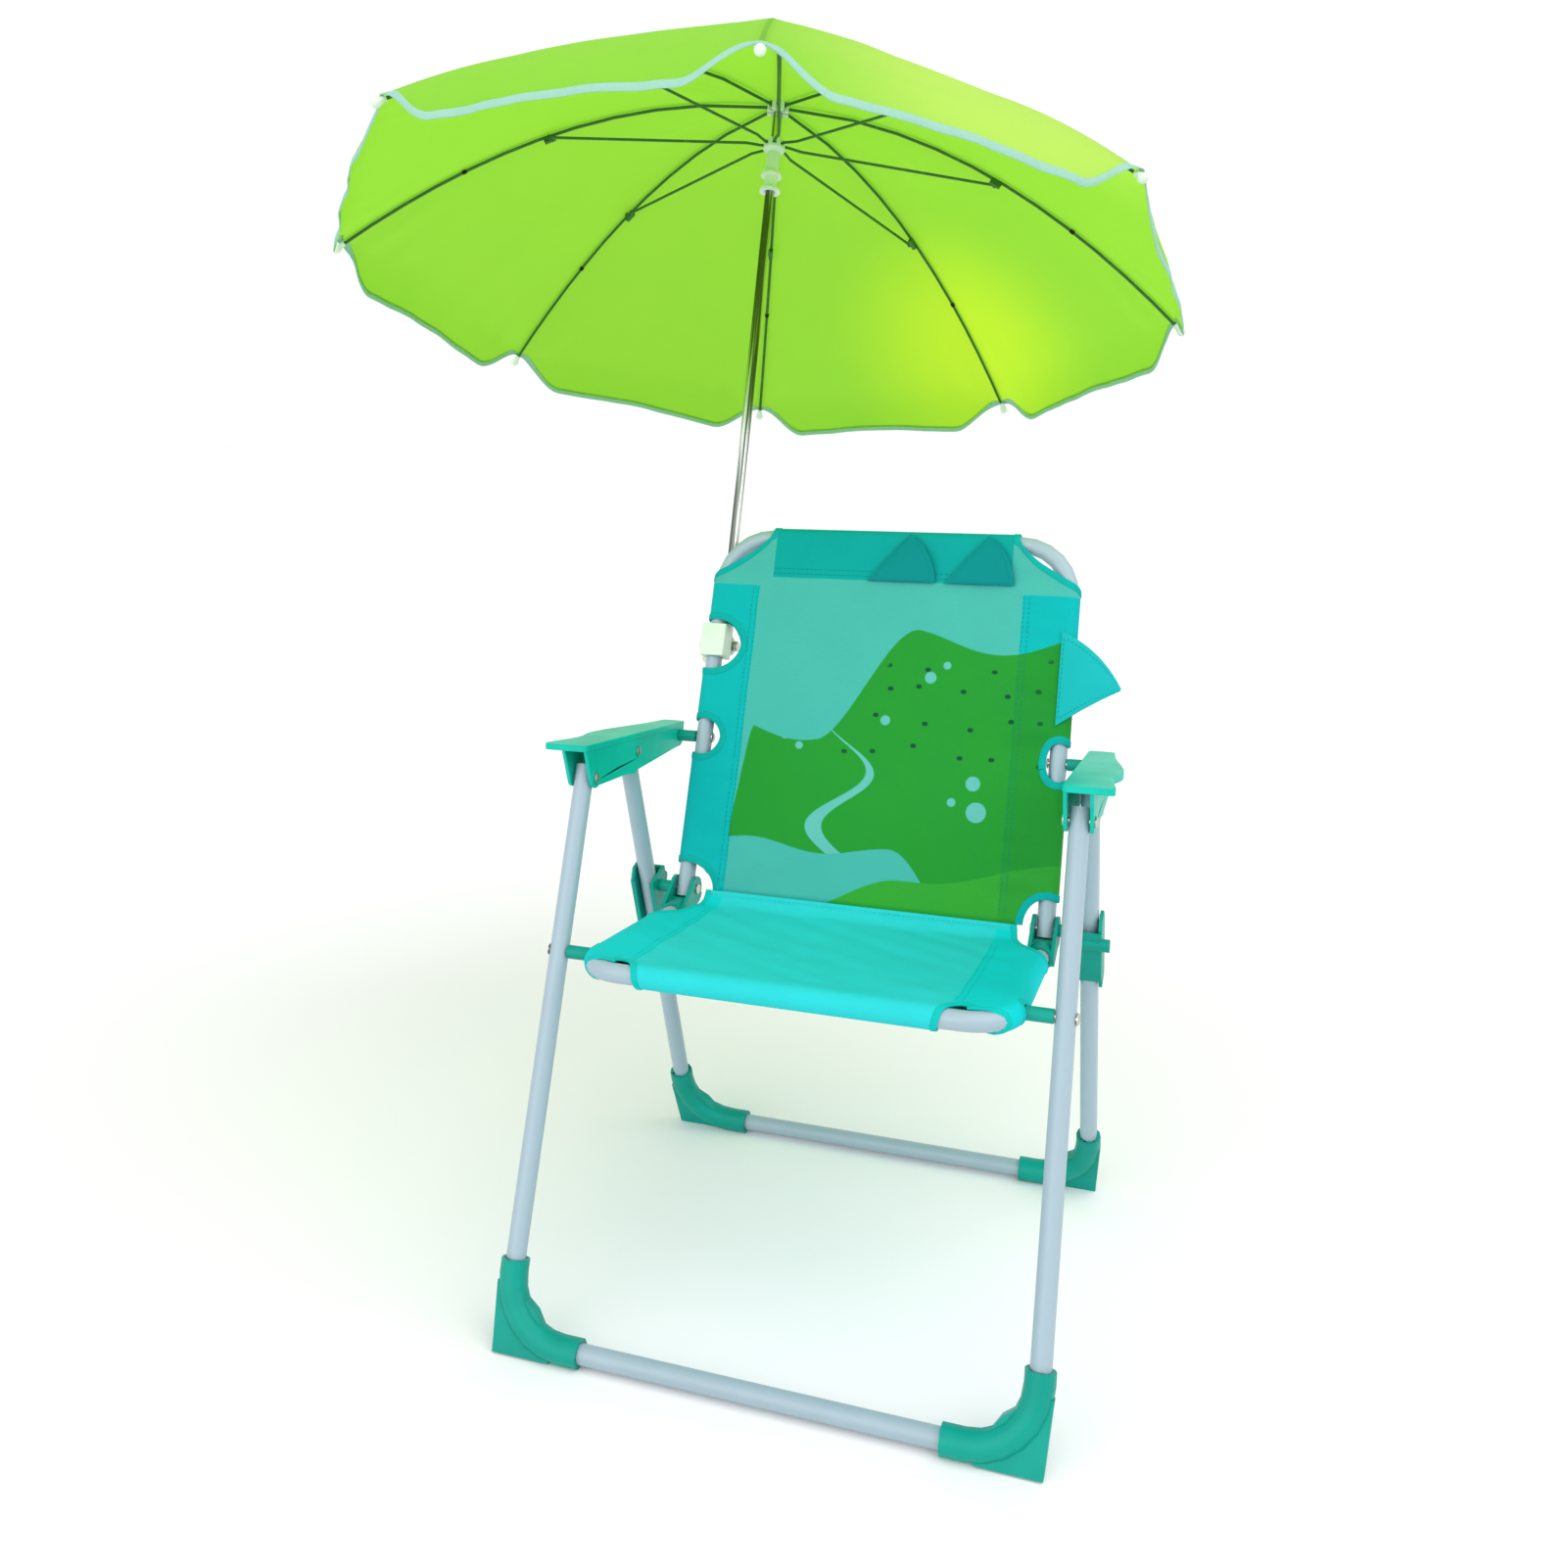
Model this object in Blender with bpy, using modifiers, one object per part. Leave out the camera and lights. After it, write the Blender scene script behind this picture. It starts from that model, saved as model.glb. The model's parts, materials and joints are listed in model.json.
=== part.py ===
"""A child's folding armchair with a clamp-on parasol, modelled in metres with +Z up.

The chair faces -Y. Four bent tubes, two armrests and two sliders make its fold, and a small
parasol stands in a tilting socket that is clamped to the left side of the back frame. The
origin is on the floor, under the middle of the whole object, so the pole's axis is at x = 0.
"""

import math

import bmesh
import bpy
from mathutils import Matrix, Vector

# Steel tube
TUBE_DIAMETER = 0.013
TUBE_LEVEL = 4
BEND_STEPS = 6
TURNED_SIDES = 20
WELD = 0.00001
FIT_GAP = 0.0003
CUT_OVERRUN = 0.004

# Chair frame
CHAIR_CENTRE_X = 0.139
FRONT_FOOT_Y = -0.3638
FRAME_HALF_WIDTH = 0.170
SIDE_GAP = 0.031
BAR_HEIGHT = 0.0085
FRAME_TILT = math.radians(20.0)
FRONT_LEG_LENGTH = 0.364
FRONT_LEG_STUB = 0.0085
REAR_LEG_STUB = 0.0035
LEG_BEND = 0.040
LINK_DROP = 0.119
ARM_PITCH = 0.151
REAR_LEG_SETBACK = 0.070
REAR_LEG_RISE = 0.004

# Back and seat frames
BACK_LENGTH = 0.285
BACK_BEND = 0.040
BACK_STUB = 0.0060
SEAT_NOSE = 0.031
SEAT_BEND = 0.028
SEAT_DROP = 0.014
SEAT_TAIL_GAP = 0.018

# Plastic feet
BOOT_WALL = 0.0025
BOOT_HEIGHT = 0.048
BOOT_REACH = 0.054
BOOT_WEB_THICKNESS = 0.008
BOOT_WEB_RISE = 0.034
BOOT_POINT = 0.0058
FLOOR_CUT = 0.100

# Armrests
ARM_NOSE = 0.017
ARM_TAIL = 0.012
ARM_SLOPE = math.radians(5.3)
ARM_PLATE = 0.0045
ARM_ROOF = 0.020
ARM_INNER_REACH = 0.010
ARM_FRONT_REACH = 0.022
ARM_WAIST_REACH = 0.017
ARM_SWELL_REACH = 0.022
ARM_TAIL_REACH = 0.009
ARM_WAIST_SHARE = 0.166
ARM_SWELL_SHARE = 0.377
ARM_CORNER = 0.0035
ARM_CHEEK_SETBACK = 0.0015
ARM_WALL = 0.0024
ARM_SIDE_PLAY = 0.0005
ARM_LOBE = 0.0072
ARM_LEG_LOBE = 0.0115
ARM_LEG_LOBE_AHEAD = 0.008
ARM_TAIL_LOBE = 0.0090
ARM_EDGE_BEVEL = 0.0012
ARM_CORNER_STEPS = 3
ARM_EDGE_STEPS = 5
ARM_LOBE_STEPS = 6

# Rivets and spacers
RIVET_DIAMETER = 0.0040
RIVET_HEAD = 0.0078
RIVET_HEAD_HEIGHT = 0.0016
SPACER_DIAMETER = 0.0092
RIVET_SIDES = 12
RIVET_DOME_SHARE = 0.6
RIVET_EDGE_SHARE = 0.45

# Hinge fittings at the seat's rear ends
FORK_WALL = 0.0026
FORK_LOBE = 0.0098
FORK_PLAY = 0.0005
SOCKET_RADIUS = 0.0088
SOCKET_LENGTH = 0.012
SOCKET_WALL = 0.0020
FORK_STEPS = 8
FORK_FOOT_SHARE = 0.7
FORK_CRADLE_ANGLES = (214, 330)

# Sliders on the rear legs
SLIDER_PLAY = 0.0040
SLIDER_SIDE_PLAY = 0.0005
SLIDER_WALL = 0.0024
SLIDER_TOP = 0.0095
SLIDER_WEB_DROP = 0.032
SLIDER_CHEEK_DROP = 0.043
SLIDER_HORN = 0.018
SLIDER_LIP = 0.0012
SLIDER_RIB_RADIUS = 0.0046
SLIDER_RIB_SHARE = 0.4
SLIDER_HORN_SHARE = 0.5
SLIDER_CAP_LENGTH = 0.0055

# Fabric
FABRIC = 0.0011
FABRIC_GAP = 0.0004
HEM = 0.00015
SLEEVE_WIDTH = 0.034
SLEEVE_STEPS = 10
BACK_SLING_FOOT = -0.007
SEAT_SLING_TAIL = 0.0165
SLEEVE_END_GAP = 0.002
HINGE_CUT = 0.022
ARM_CUT = 0.015
CLAMP_CUT = 0.0225
SEAT_EYE = 0.0053
SEAT_EYE_REACH = 0.012
FRONT_SLEEVE_INSET = 0.0415
CORNER_MARGIN = 0.0012
CORNER_STEPS = 5
NOTCH_BEHIND = 0.010
SEAT_NOTCH_INWARD = (-0.012, 0.0080, 0.0125, 0.0155)
SEAT_NOTCH_AHEAD = (0.0572, 0.0340, 0.0270, 0.0016)
CUT_SIDES = 24

# Fabric fins, as width, height and place on the back
FIN_THICKNESS = 0.0016
FIN_STEPS = 6
TOP_FIN_WIDTH = 0.054
TOP_FIN_HEIGHT = 0.038
TOP_FIN_BASE = 0.2505
TOP_FIN_CENTRES = (0.010, 0.071)
SIDE_FIN_BASE = 0.0715
SIDE_FIN_REACH = 0.0455
SIDE_FIN_FOOT = 0.1455
SIDE_FIN_PLACE = 0.136
SIDE_FIN_TIP_SHARE = 0.41
TOP_FIN_LEAN_SHARE = 0.2
FIN_BULGE_SHARE = 0.16
FIN_HOLLOW_SHARE = -0.05

# Parasol clamp on the back frame
CLAMP_RISE = 0.197
POLE_SETBACK = 0.017
CLAMP_HEIGHT = 0.026
CLAMP_WALL = 0.0032
CLAMP_SLOT = 0.0030
CLAMP_REAR = 0.0088
CLEVIS_WALL = 0.0035
CLEVIS_RADIUS = 0.0078
SOCKET_LUG = 0.0072
BOLT_DIAMETER = 0.0045
BOLT_CLEARANCE = 0.0004
NUT_WIDTH = 0.0085
NUT_THICKNESS = 0.0036
WASHER_RADIUS = 0.0060
WASHER_THICKNESS = 0.0012
KNOB_HUB_RADIUS = 0.0060
KNOB_LENGTH = 0.012
KNOB_SPAN = 0.015
KNOB_WING = 0.0032
KNOB_BORE_SHARE = 0.6
KNOB_CROWN_SHARE = 0.7
KNOB_WING_SHARE = 0.2

# Parasol pole, notch and runner
POLE_DIAMETER = 0.008
POLE_TILT = math.radians(16.5)
POLE_LENGTH = 0.475
POLE_SEAT = 0.010
HOLDER_RADIUS = 0.0066
HOLDER_START = 0.0084
HOLDER_TOP = 0.024
HOLDER_LIP = 0.0008
LUG_TOP_SHARE = 0.8
PIVOT_RADIUS = 0.0070
NOTCH_DROP = 0.003
NOTCH_RADIUS = 0.0096
NOTCH_HEIGHT = 0.0090
NOTCH_RISE = 0.0010
NOTCH_ROOF = 0.0010
POLE_STUB = 0.0060
SLOT_WIDTH = 0.0034
SLOT_START = 0.0053
SLOT_PLAY = 0.0004
CAP_RADIUS = 0.0075
CAP_HEIGHT = 0.012
CAP_CROWN_SHARE = 0.5
CAP_SHOULDER_SHARE = 0.5
RUNNER_RADIUS = 0.0056
RUNNER_LENGTH = 0.046
RUNNER_FLANGE = 0.0090
RUNNER_FLANGE_HEIGHT = 0.0045
RUNNER_GRIP = 0.014
RUNNER_CROWN_HEIGHT = 0.0075
RUNNER_PLAY = 0.0004

# Ribs, stretchers and cover
RIB_COUNT = 8
RIB_TURN = math.radians(-26.7)
RIB_SPAN = 0.3585
RIB_DROP = 0.1666
RIB_POWER = 2.0
RIB_RADIUS = 0.0013
RIB_POINTS = 12
RIB_TIP_RADIUS = 0.0032
RIB_SPACING_POWER = 0.75
RIB_LEVEL = 1
TIP_STEPS = 6
TIP_END_SHARE = 0.3
STRETCHER_REACH = 0.193
CLIP_DROP = 0.0033
RUNNER_DROP = 0.038
STRETCHER_RADIUS = 0.0012
STRETCHER_EYE = 0.0022
STRETCHER_KINK = (0.005, 0.017)
CLIP_LENGTH = 0.010
CLIP_FACE = 0.0020
CLIP_BACK = 0.0018
PIN_RADIUS = 0.0008
PIN_SIDES = 8
COVER = 0.0009
COVER_GAP = 0.0011
COVER_CENTRE = 0.0060
COVER_TOP = 0.0016
COVER_INSET = 0.006
VALANCE_DROP = 0.034
VALANCE_SHARES = (0.12, 0.80, 1.0, 1.0, 1.0, 0.80)
VALANCE_RING_SHARES = (0.35, 1.0)
VALANCE_FLARE = 0.012
COVER_SPLITS = 6
GORE_HOLLOW = 0.006

SHARP_ANGLE = math.radians(38.0)
HANDS = ("left", "right")

# Directions in the chair's side view, and the pivots that everything hangs on
UP_FRAME = Vector((0, math.sin(FRAME_TILT), math.cos(FRAME_TILT)))
REAR_FACE = Vector((0, math.cos(FRAME_TILT), -math.sin(FRAME_TILT)))
FRONT_FACE = -REAR_FACE
ACROSS = Vector((1, 0, 0))
FLOOR_UP = Vector((0, 0, 1))
BACKWARD = Vector((0, 1, 0))
TUBE_RADIUS = TUBE_DIAMETER / 2
INNER_HALF_WIDTH = FRAME_HALF_WIDTH - SIDE_GAP
CENTRE = ACROSS * CHAIR_CENTRE_X
FRONT_BAR = CENTRE + Vector((0, FRONT_FOOT_Y, BAR_HEIGHT))
ARM_FRONT = FRONT_BAR + UP_FRAME * FRONT_LEG_LENGTH
SEAT_FRONT = ARM_FRONT - UP_FRAME * LINK_DROP
ARM_REAR = ARM_FRONT + BACKWARD * ARM_PITCH
SEAT_REAR = SEAT_FRONT + BACKWARD * ARM_PITCH
LEG_TOP = ARM_FRONT + Vector((0, REAR_LEG_SETBACK, REAR_LEG_RISE))
REAR_DOWN = (SEAT_REAR - LEG_TOP).normalized()
REAR_BAR = LEG_TOP + REAR_DOWN * ((LEG_TOP.z - BAR_HEIGHT) / -REAR_DOWN.z)
REAR_LEG_LENGTH = (REAR_BAR - LEG_TOP).length
BACK_TOP = SEAT_REAR + UP_FRAME * BACK_LENGTH
SEAT_ALONG = Vector((0, ARM_PITCH, -SEAT_DROP)).normalized()
SEAT_UP = ACROSS.cross(SEAT_ALONG).normalized()
SEAT_SIDE_LENGTH = (ARM_PITCH - SEAT_TAIL_GAP) / SEAT_ALONG.y
POLE_UP = Vector((0, math.sin(POLE_TILT), math.cos(POLE_TILT)))
POLE_FOOT = (
    SEAT_REAR
    + UP_FRAME * CLAMP_RISE
    + REAR_FACE * POLE_SETBACK
    - ACROSS * INNER_HALF_WIDTH
)
POLE_TOP = POLE_FOOT + POLE_UP * POLE_LENGTH
POLE_FRONT = ACROSS.cross(POLE_UP).normalized()
RUNNER_TOP = POLE_TOP - POLE_UP * RUNNER_DROP

# Colours, as linear red, green and blue, with roughness and metallic
FINISHES = {
    "tube_white": ((0.46, 0.60, 0.66), 0.35, 0.0),
    "teal_plastic": ((0.0, 0.42, 0.33), 0.45, 0.0),
    "teal_fabric": ((0.03, 0.53, 0.50), 0.85, 0.0),
    "lime_fabric": ((0.45, 0.82, 0.03), 0.80, 0.0),
    "steel": ((0.60, 0.60, 0.58), 0.30, 1.0),
    "dark_wire": ((0.05, 0.08, 0.05), 0.45, 0.6),
    "pale_plastic": ((0.72, 0.78, 0.74), 0.45, 0.0),
}

BODY_PIVOTS = {}


def start_scene():
    """Empties the scene and makes one collection for the pieces and one for their cutters."""
    for obj in list(bpy.data.objects):
        bpy.data.objects.remove(obj, do_unlink=True)
    for name in ("umbrella_chair", "cutters"):
        collection = bpy.data.collections.new(name)
        bpy.context.scene.collection.children.link(collection)
    bpy.data.collections["cutters"].hide_render = True


def new_material(name, finish):
    colour, roughness, metallic = FINISHES[finish]
    material = bpy.data.materials.new(name)
    material.use_nodes = True
    shader = material.node_tree.nodes["Principled BSDF"]
    shader.inputs["Base Color"].default_value = (*colour, 1)
    shader.inputs["Roughness"].default_value = roughness
    shader.inputs["Metallic"].default_value = metallic
    material.diffuse_color = (*colour, 1)
    return material


def new_object(name, data, matrix=None):
    obj = bpy.data.objects.new(name, data)
    bpy.data.collections["umbrella_chair"].objects.link(obj)
    if matrix is not None:
        obj.matrix_world = matrix
    return obj


def new_body(name, pivot, parent=None):
    """Makes the empty on a joint's axis that carries every piece of one moving body."""
    empty = new_object(name, None)
    BODY_PIVOTS[name] = Vector(pivot)
    if parent is not None:
        empty.parent = parent
        empty.location = pivot - BODY_PIVOTS[parent.name]
    else:
        empty.location = pivot
    return empty


def finish_piece(obj, finish, body, smooth=True):
    """Gives a piece its material and hangs it on the body that carries it."""
    obj.data.materials.clear()
    obj.data.materials.append(new_material(obj.name, finish))
    if smooth and obj.data.polygons:
        obj.data.shade_smooth()
        obj.data.set_sharp_from_angle(angle=SHARP_ANGLE)
    obj.parent = body
    obj.matrix_parent_inverse = Matrix.Translation(-BODY_PIVOTS[body.name])
    return obj


def axes_at(origin, first, second, third):
    """A matrix that places local X, Y and Z along three directions, from an origin."""
    return Matrix.Translation(origin) @ Matrix((first, second, third)).transposed().to_4x4()


def arc(centre, radius, start, end, steps):
    """Points of a flat arc, with its angles in degrees."""
    turns = [math.radians(start + (end - start) * i / steps) for i in range(steps + 1)]
    return [(centre[0] + radius * math.cos(t), centre[1] + radius * math.sin(t)) for t in turns]


def rounded_path(corners, radius, steps):
    """Straight runs between corners, with an arc of one radius at each inner corner."""
    points = [corners[0].copy()]
    for before, corner, after in zip(corners, corners[1:], corners[2:]):
        entry = (corner - before).normalized()
        leave = (after - corner).normalized()
        turn = entry.angle(leave)
        axis = entry.cross(leave).normalized()
        start = corner - entry * radius * math.tan(turn / 2)
        centre = start + axis.cross(entry) * radius
        for i in range(steps + 1):
            points.append(centre + Matrix.Rotation(turn * i / steps, 3, axis) @ (start - centre))
    points.append(corners[-1].copy())
    return points


def as_solid(curve_object):
    """Turns a curve object into a mesh object of the same name, with its caps welded on."""
    bpy.context.view_layer.update()
    graph = bpy.context.evaluated_depsgraph_get()
    mesh = bpy.data.meshes.new_from_object(curve_object.evaluated_get(graph))
    shape = bmesh.new()
    shape.from_mesh(mesh)
    bmesh.ops.remove_doubles(shape, verts=shape.verts, dist=WELD)
    bmesh.ops.recalc_face_normals(shape, faces=shape.faces)
    shape.to_mesh(mesh)
    shape.free()
    name = curve_object.name
    matrix = curve_object.matrix_world.copy()
    bpy.data.objects.remove(curve_object)
    return new_object(name, mesh, matrix)


def tube(name, points, radius, level=TUBE_LEVEL, swells=None):
    """A round bar along points. Swells multiply its radius, one for each point."""
    curve = bpy.data.curves.new(name, "CURVE")
    curve.dimensions = "3D"
    curve.bevel_depth = radius
    curve.bevel_resolution = level
    curve.use_fill_caps = True
    spline = curve.splines.new("POLY")
    spline.points.add(len(points) - 1)
    for i, (target, point) in enumerate(zip(spline.points, points)):
        target.co = (*point, 1)
        target.radius = swells[i] if swells else 1
    return as_solid(new_object(name, curve))


def plate(name, loops, thickness, matrix):
    """A flat plate with its middle at local z 0. The first loop is its outline, others are holes."""
    curve = bpy.data.curves.new(name, "CURVE")
    curve.dimensions = "2D"
    curve.fill_mode = "BOTH"
    curve.extrude = thickness / 2
    for loop in loops:
        spline = curve.splines.new("POLY")
        spline.use_cyclic_u = True
        spline.points.add(len(loop) - 1)
        for target, point in zip(spline.points, loop):
            target.co = (*point, 0, 1)
    return as_solid(new_object(name, curve, matrix))


def rod(name, start, end, radius, sides=RIVET_SIDES):
    """A straight round bar between two points."""
    mesh = bpy.data.meshes.new(name)
    shape = bmesh.new()
    bmesh.ops.create_cone(
        shape, cap_ends=True, segments=sides, radius1=radius, radius2=radius, depth=(end - start).length
    )
    shape.to_mesh(mesh)
    shape.free()
    turn = (end - start).to_track_quat("Z", "Y").to_matrix().to_4x4()
    return new_object(name, mesh, Matrix.Translation((start + end) / 2) @ turn)


def block(name, matrix, low, high):
    """A box between two local corners."""
    mesh = bpy.data.meshes.new(name)
    shape = bmesh.new()
    low, high = Vector(low), Vector(high)
    place = Matrix.Translation((low + high) / 2) @ Matrix.Diagonal((*(high - low), 1))
    bmesh.ops.create_cube(shape, size=1, matrix=place)
    shape.to_mesh(mesh)
    shape.free()
    return new_object(name, mesh, matrix)


def turned(name, profile, matrix, sides=TURNED_SIDES, closed=False):
    """A turned piece about local Z. Its profile runs down the outer side, as radius and height."""
    mesh = bpy.data.meshes.new(name)
    edges = [(i, i + 1) for i in range(len(profile) - 1)]
    if closed:
        edges.append((len(profile) - 1, 0))
    mesh.from_pydata([(radius, 0, height) for radius, height in profile], edges, [])
    obj = new_object(name, mesh, matrix)
    screw = obj.modifiers.new("turn", "SCREW")
    screw.steps = sides
    screw.render_steps = sides
    screw.use_merge_vertices = True
    screw.merge_threshold = WELD
    return as_solid(obj)


def combine(obj, tool, operation):
    """Adds a Boolean with another piece, which then becomes a hidden guide."""
    boolean = obj.modifiers.new(tool.name, "BOOLEAN")
    boolean.operation = operation
    boolean.solver = "EXACT"
    boolean.object = tool
    tool.hide_render = True
    tool.display_type = "WIRE"
    if tool.name in bpy.data.collections["umbrella_chair"].objects:
        bpy.data.collections["umbrella_chair"].objects.unlink(tool)
        bpy.data.collections["cutters"].objects.link(tool)
    return obj


def cut(obj, tool):
    return combine(obj, tool, "DIFFERENCE")


def fuse(obj, tool):
    return combine(obj, tool, "UNION")


def side_point(side, half_width, point):
    """A point of the side view, moved to the plane at half_width left (-1) or right (1)."""
    return point + ACROSS * side * half_width


def drill(obj, centre, half_length, radius):
    """Cuts a round hole across the chair, through the piece at this centre."""
    reach = ACROSS * (half_length + CUT_OVERRUN)
    return cut(obj, rod(f"{obj.name}_hole", centre - reach, centre + reach, radius))


def u_path(bar, up, half_width, left_top, bend):
    """The centre line of a U-shaped tube, from its left top, down, across and up again."""
    corners = [
        side_point(-1, half_width, bar + up * left_top),
        side_point(-1, half_width, bar),
        side_point(1, half_width, bar),
        side_point(1, half_width, bar + up * left_top),
    ]
    return rounded_path(corners, bend, BEND_STEPS)


def front_frame_path():
    return u_path(FRONT_BAR, UP_FRAME, FRAME_HALF_WIDTH, FRONT_LEG_LENGTH + FRONT_LEG_STUB, LEG_BEND)


def rear_frame_path():
    return u_path(REAR_BAR, -REAR_DOWN, FRAME_HALF_WIDTH, REAR_LEG_LENGTH + REAR_LEG_STUB, LEG_BEND)


def back_frame_path():
    return u_path(BACK_TOP, -UP_FRAME, INNER_HALF_WIDTH, BACK_LENGTH + BACK_STUB, BACK_BEND)


def seat_frame_path():
    nose = SEAT_FRONT - SEAT_ALONG * SEAT_NOSE
    return u_path(nose, SEAT_ALONG, INNER_HALF_WIDTH, SEAT_NOSE + SEAT_SIDE_LENGTH, SEAT_BEND)


def build_frame_tube(name, path, body, pins):
    """A bent tube, drilled for its pins. Pins lists each pin's centre on both sides."""
    obj = tube(name, path, TUBE_RADIUS)
    for centre in pins:
        drill(obj, centre, TUBE_RADIUS, RIVET_DIAMETER / 2 + FIT_GAP)
    return finish_piece(obj, "tube_white", body)


def both_sides(half_width, point):
    return [side_point(side, half_width, point) for side in (-1, 1)]


def build_boot(name, side, bar, up, path, body):
    """A moulded foot round one bottom bend, with a web that runs out to a pointed corner."""
    corner = side_point(side, FRAME_HALF_WIDTH, bar)
    inward = -ACROSS * side
    run = [
        corner + up * BOOT_HEIGHT,
        corner,
        corner + inward * BOOT_REACH,
    ]
    sleeve = tube(name, rounded_path(run, LEG_BEND, BEND_STEPS), TUBE_RADIUS + FIT_GAP + BOOT_WALL)
    reach = TUBE_RADIUS + BOOT_WALL
    outline = [
        (reach, BOOT_WEB_RISE),
        (BOOT_POINT, -reach),
        (-BOOT_WEB_RISE, -reach),
        (-BOOT_WEB_RISE, 0),
        (-LEG_BEND / 2, LEG_BEND / 2),
        (0, BOOT_WEB_RISE),
    ]
    web_axes = axes_at(corner, ACROSS * side, up, (ACROSS * side).cross(up))
    web = plate(f"{name}_web", [outline], BOOT_WEB_THICKNESS, web_axes)
    fuse(sleeve, web)
    cut(sleeve, tube(f"{name}_bore", path, TUBE_RADIUS + FIT_GAP))
    floor = block(
        f"{name}_floor",
        Matrix.Translation(corner),
        (-FLOOR_CUT, -FLOOR_CUT, -BAR_HEIGHT - FLOOR_CUT),
        (FLOOR_CUT, FLOOR_CUT, -BAR_HEIGHT),
    )
    cut(sleeve, floor)
    return finish_piece(sleeve, "teal_plastic", body)


def eased(start, end, steps):
    """Points from start towards end, whose first coordinate eases in and out of the run."""
    points = []
    for i in range(steps):
        t = i / steps
        ease = t * t * (3 - 2 * t)
        points.append((start[0] + (end[0] - start[0]) * ease, start[1] + (end[1] - start[1]) * t))
    return points


def arm_outline(side):
    """The armrest's top from above: square in front, waisted, swollen, then narrow behind."""
    corner = ARM_CORNER
    front = corner - ARM_NOSE
    tail = ARM_PITCH + ARM_TAIL - corner
    inner = corner - ARM_INNER_REACH
    waist = (ARM_WAIST_REACH, ARM_PITCH * ARM_WAIST_SHARE)
    swell = (ARM_SWELL_REACH, ARM_PITCH * ARM_SWELL_SHARE)
    points = arc((inner, front), corner, 180, 270, ARM_CORNER_STEPS)
    points += arc((ARM_FRONT_REACH - corner, front), corner, 270, 360, ARM_CORNER_STEPS)[:-1]
    points += eased((ARM_FRONT_REACH, front), waist, ARM_EDGE_STEPS)
    points += eased(waist, swell, ARM_EDGE_STEPS)
    points += eased(swell, (ARM_TAIL_REACH, tail), ARM_EDGE_STEPS)
    points += arc((ARM_TAIL_REACH - corner, tail), corner, 0, 90, ARM_CORNER_STEPS)
    points += arc((inner, tail), corner, 90, 180, ARM_CORNER_STEPS)
    return [(side * x, y) for x, y in points]


def arm_roof(place):
    """Height of the middle of the armrest's sloping plate, this far behind its front pin."""
    return ARM_ROOF + ARM_PLATE / 2 - place * math.tan(ARM_SLOPE)


def cheek_outline():
    """An armrest's side wall seen from the side, with a lobe at each of its pins."""
    front = ARM_CHEEK_SETBACK - ARM_NOSE
    tail = ARM_PITCH + ARM_TAIL_LOBE
    leg_lobe = (REAR_LEG_SETBACK - ARM_LEG_LOBE_AHEAD, 0)
    points = [(front, arm_roof(front))]
    points += arc((0, 0), ARM_LOBE, 200, 300, ARM_LOBE_STEPS)
    points += arc(leg_lobe, ARM_LEG_LOBE, 235, 300, ARM_LOBE_STEPS)
    points += arc((ARM_PITCH, 0), ARM_TAIL_LOBE, 250, 360, ARM_LOBE_STEPS)
    points += [(tail, arm_roof(tail))]
    return [points]


def build_armrest(side, name, body):
    """A moulded armrest: a contoured plate over a channel that the folded legs lie in."""
    base = side_point(side, FRAME_HALF_WIDTH, ARM_FRONT)
    along = BACKWARD * math.cos(ARM_SLOPE) - FLOOR_UP * math.sin(ARM_SLOPE)
    top_axes = axes_at(base + FLOOR_UP * arm_roof(0), ACROSS, along, ACROSS.cross(along))
    arm = plate(name, [arm_outline(side)], ARM_PLATE, top_axes)
    bevel = arm.modifiers.new("soft_edge", "BEVEL")
    bevel.width = ARM_EDGE_BEVEL
    bevel.segments = 1
    bevel.limit_method = "ANGLE"
    bevel.angle_limit = SHARP_ANGLE
    wall_place = TUBE_RADIUS + ARM_SIDE_PLAY + ARM_WALL / 2
    for number, hand in enumerate((-1, 1)):
        wall_axes = axes_at(base + ACROSS * hand * wall_place, BACKWARD, FLOOR_UP, ACROSS)
        fuse(arm, plate(f"{name}_cheek_{number}", cheek_outline(), ARM_WALL, wall_axes))
    for pin in (ARM_FRONT, LEG_TOP, ARM_REAR):
        hole = side_point(side, FRAME_HALF_WIDTH, pin)
        drill(arm, hole, wall_place + ARM_WALL, RIVET_DIAMETER / 2 + FIT_GAP)
    return finish_piece(arm, "teal_plastic", body)


def rivet(name, inner, outer, two_heads=True):
    """A round-headed rivet between two faces that stand apart along one line."""
    axis = (outer - inner).normalized()
    length = (outer - inner).length
    head = RIVET_HEAD / 2
    shank = RIVET_DIAMETER / 2
    cap = RIVET_HEAD_HEIGHT
    top = length + FIT_GAP
    if two_heads:
        profile = [
            (0, top + cap),
            (head * RIVET_DOME_SHARE, top + cap),
            (head, top + cap * RIVET_EDGE_SHARE),
            (head, top),
            (shank, top),
        ]
    else:
        profile = [(0, length), (shank, length)]
    profile += [
        (shank, -FIT_GAP),
        (head, -FIT_GAP),
        (head, -FIT_GAP - cap * RIVET_EDGE_SHARE),
        (head * RIVET_DOME_SHARE, -FIT_GAP - cap),
        (0, -FIT_GAP - cap),
    ]
    turn = axis.to_track_quat("Z", "Y").to_matrix().to_4x4()
    return turned(name, profile, Matrix.Translation(inner) @ turn, RIVET_SIDES)


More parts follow.
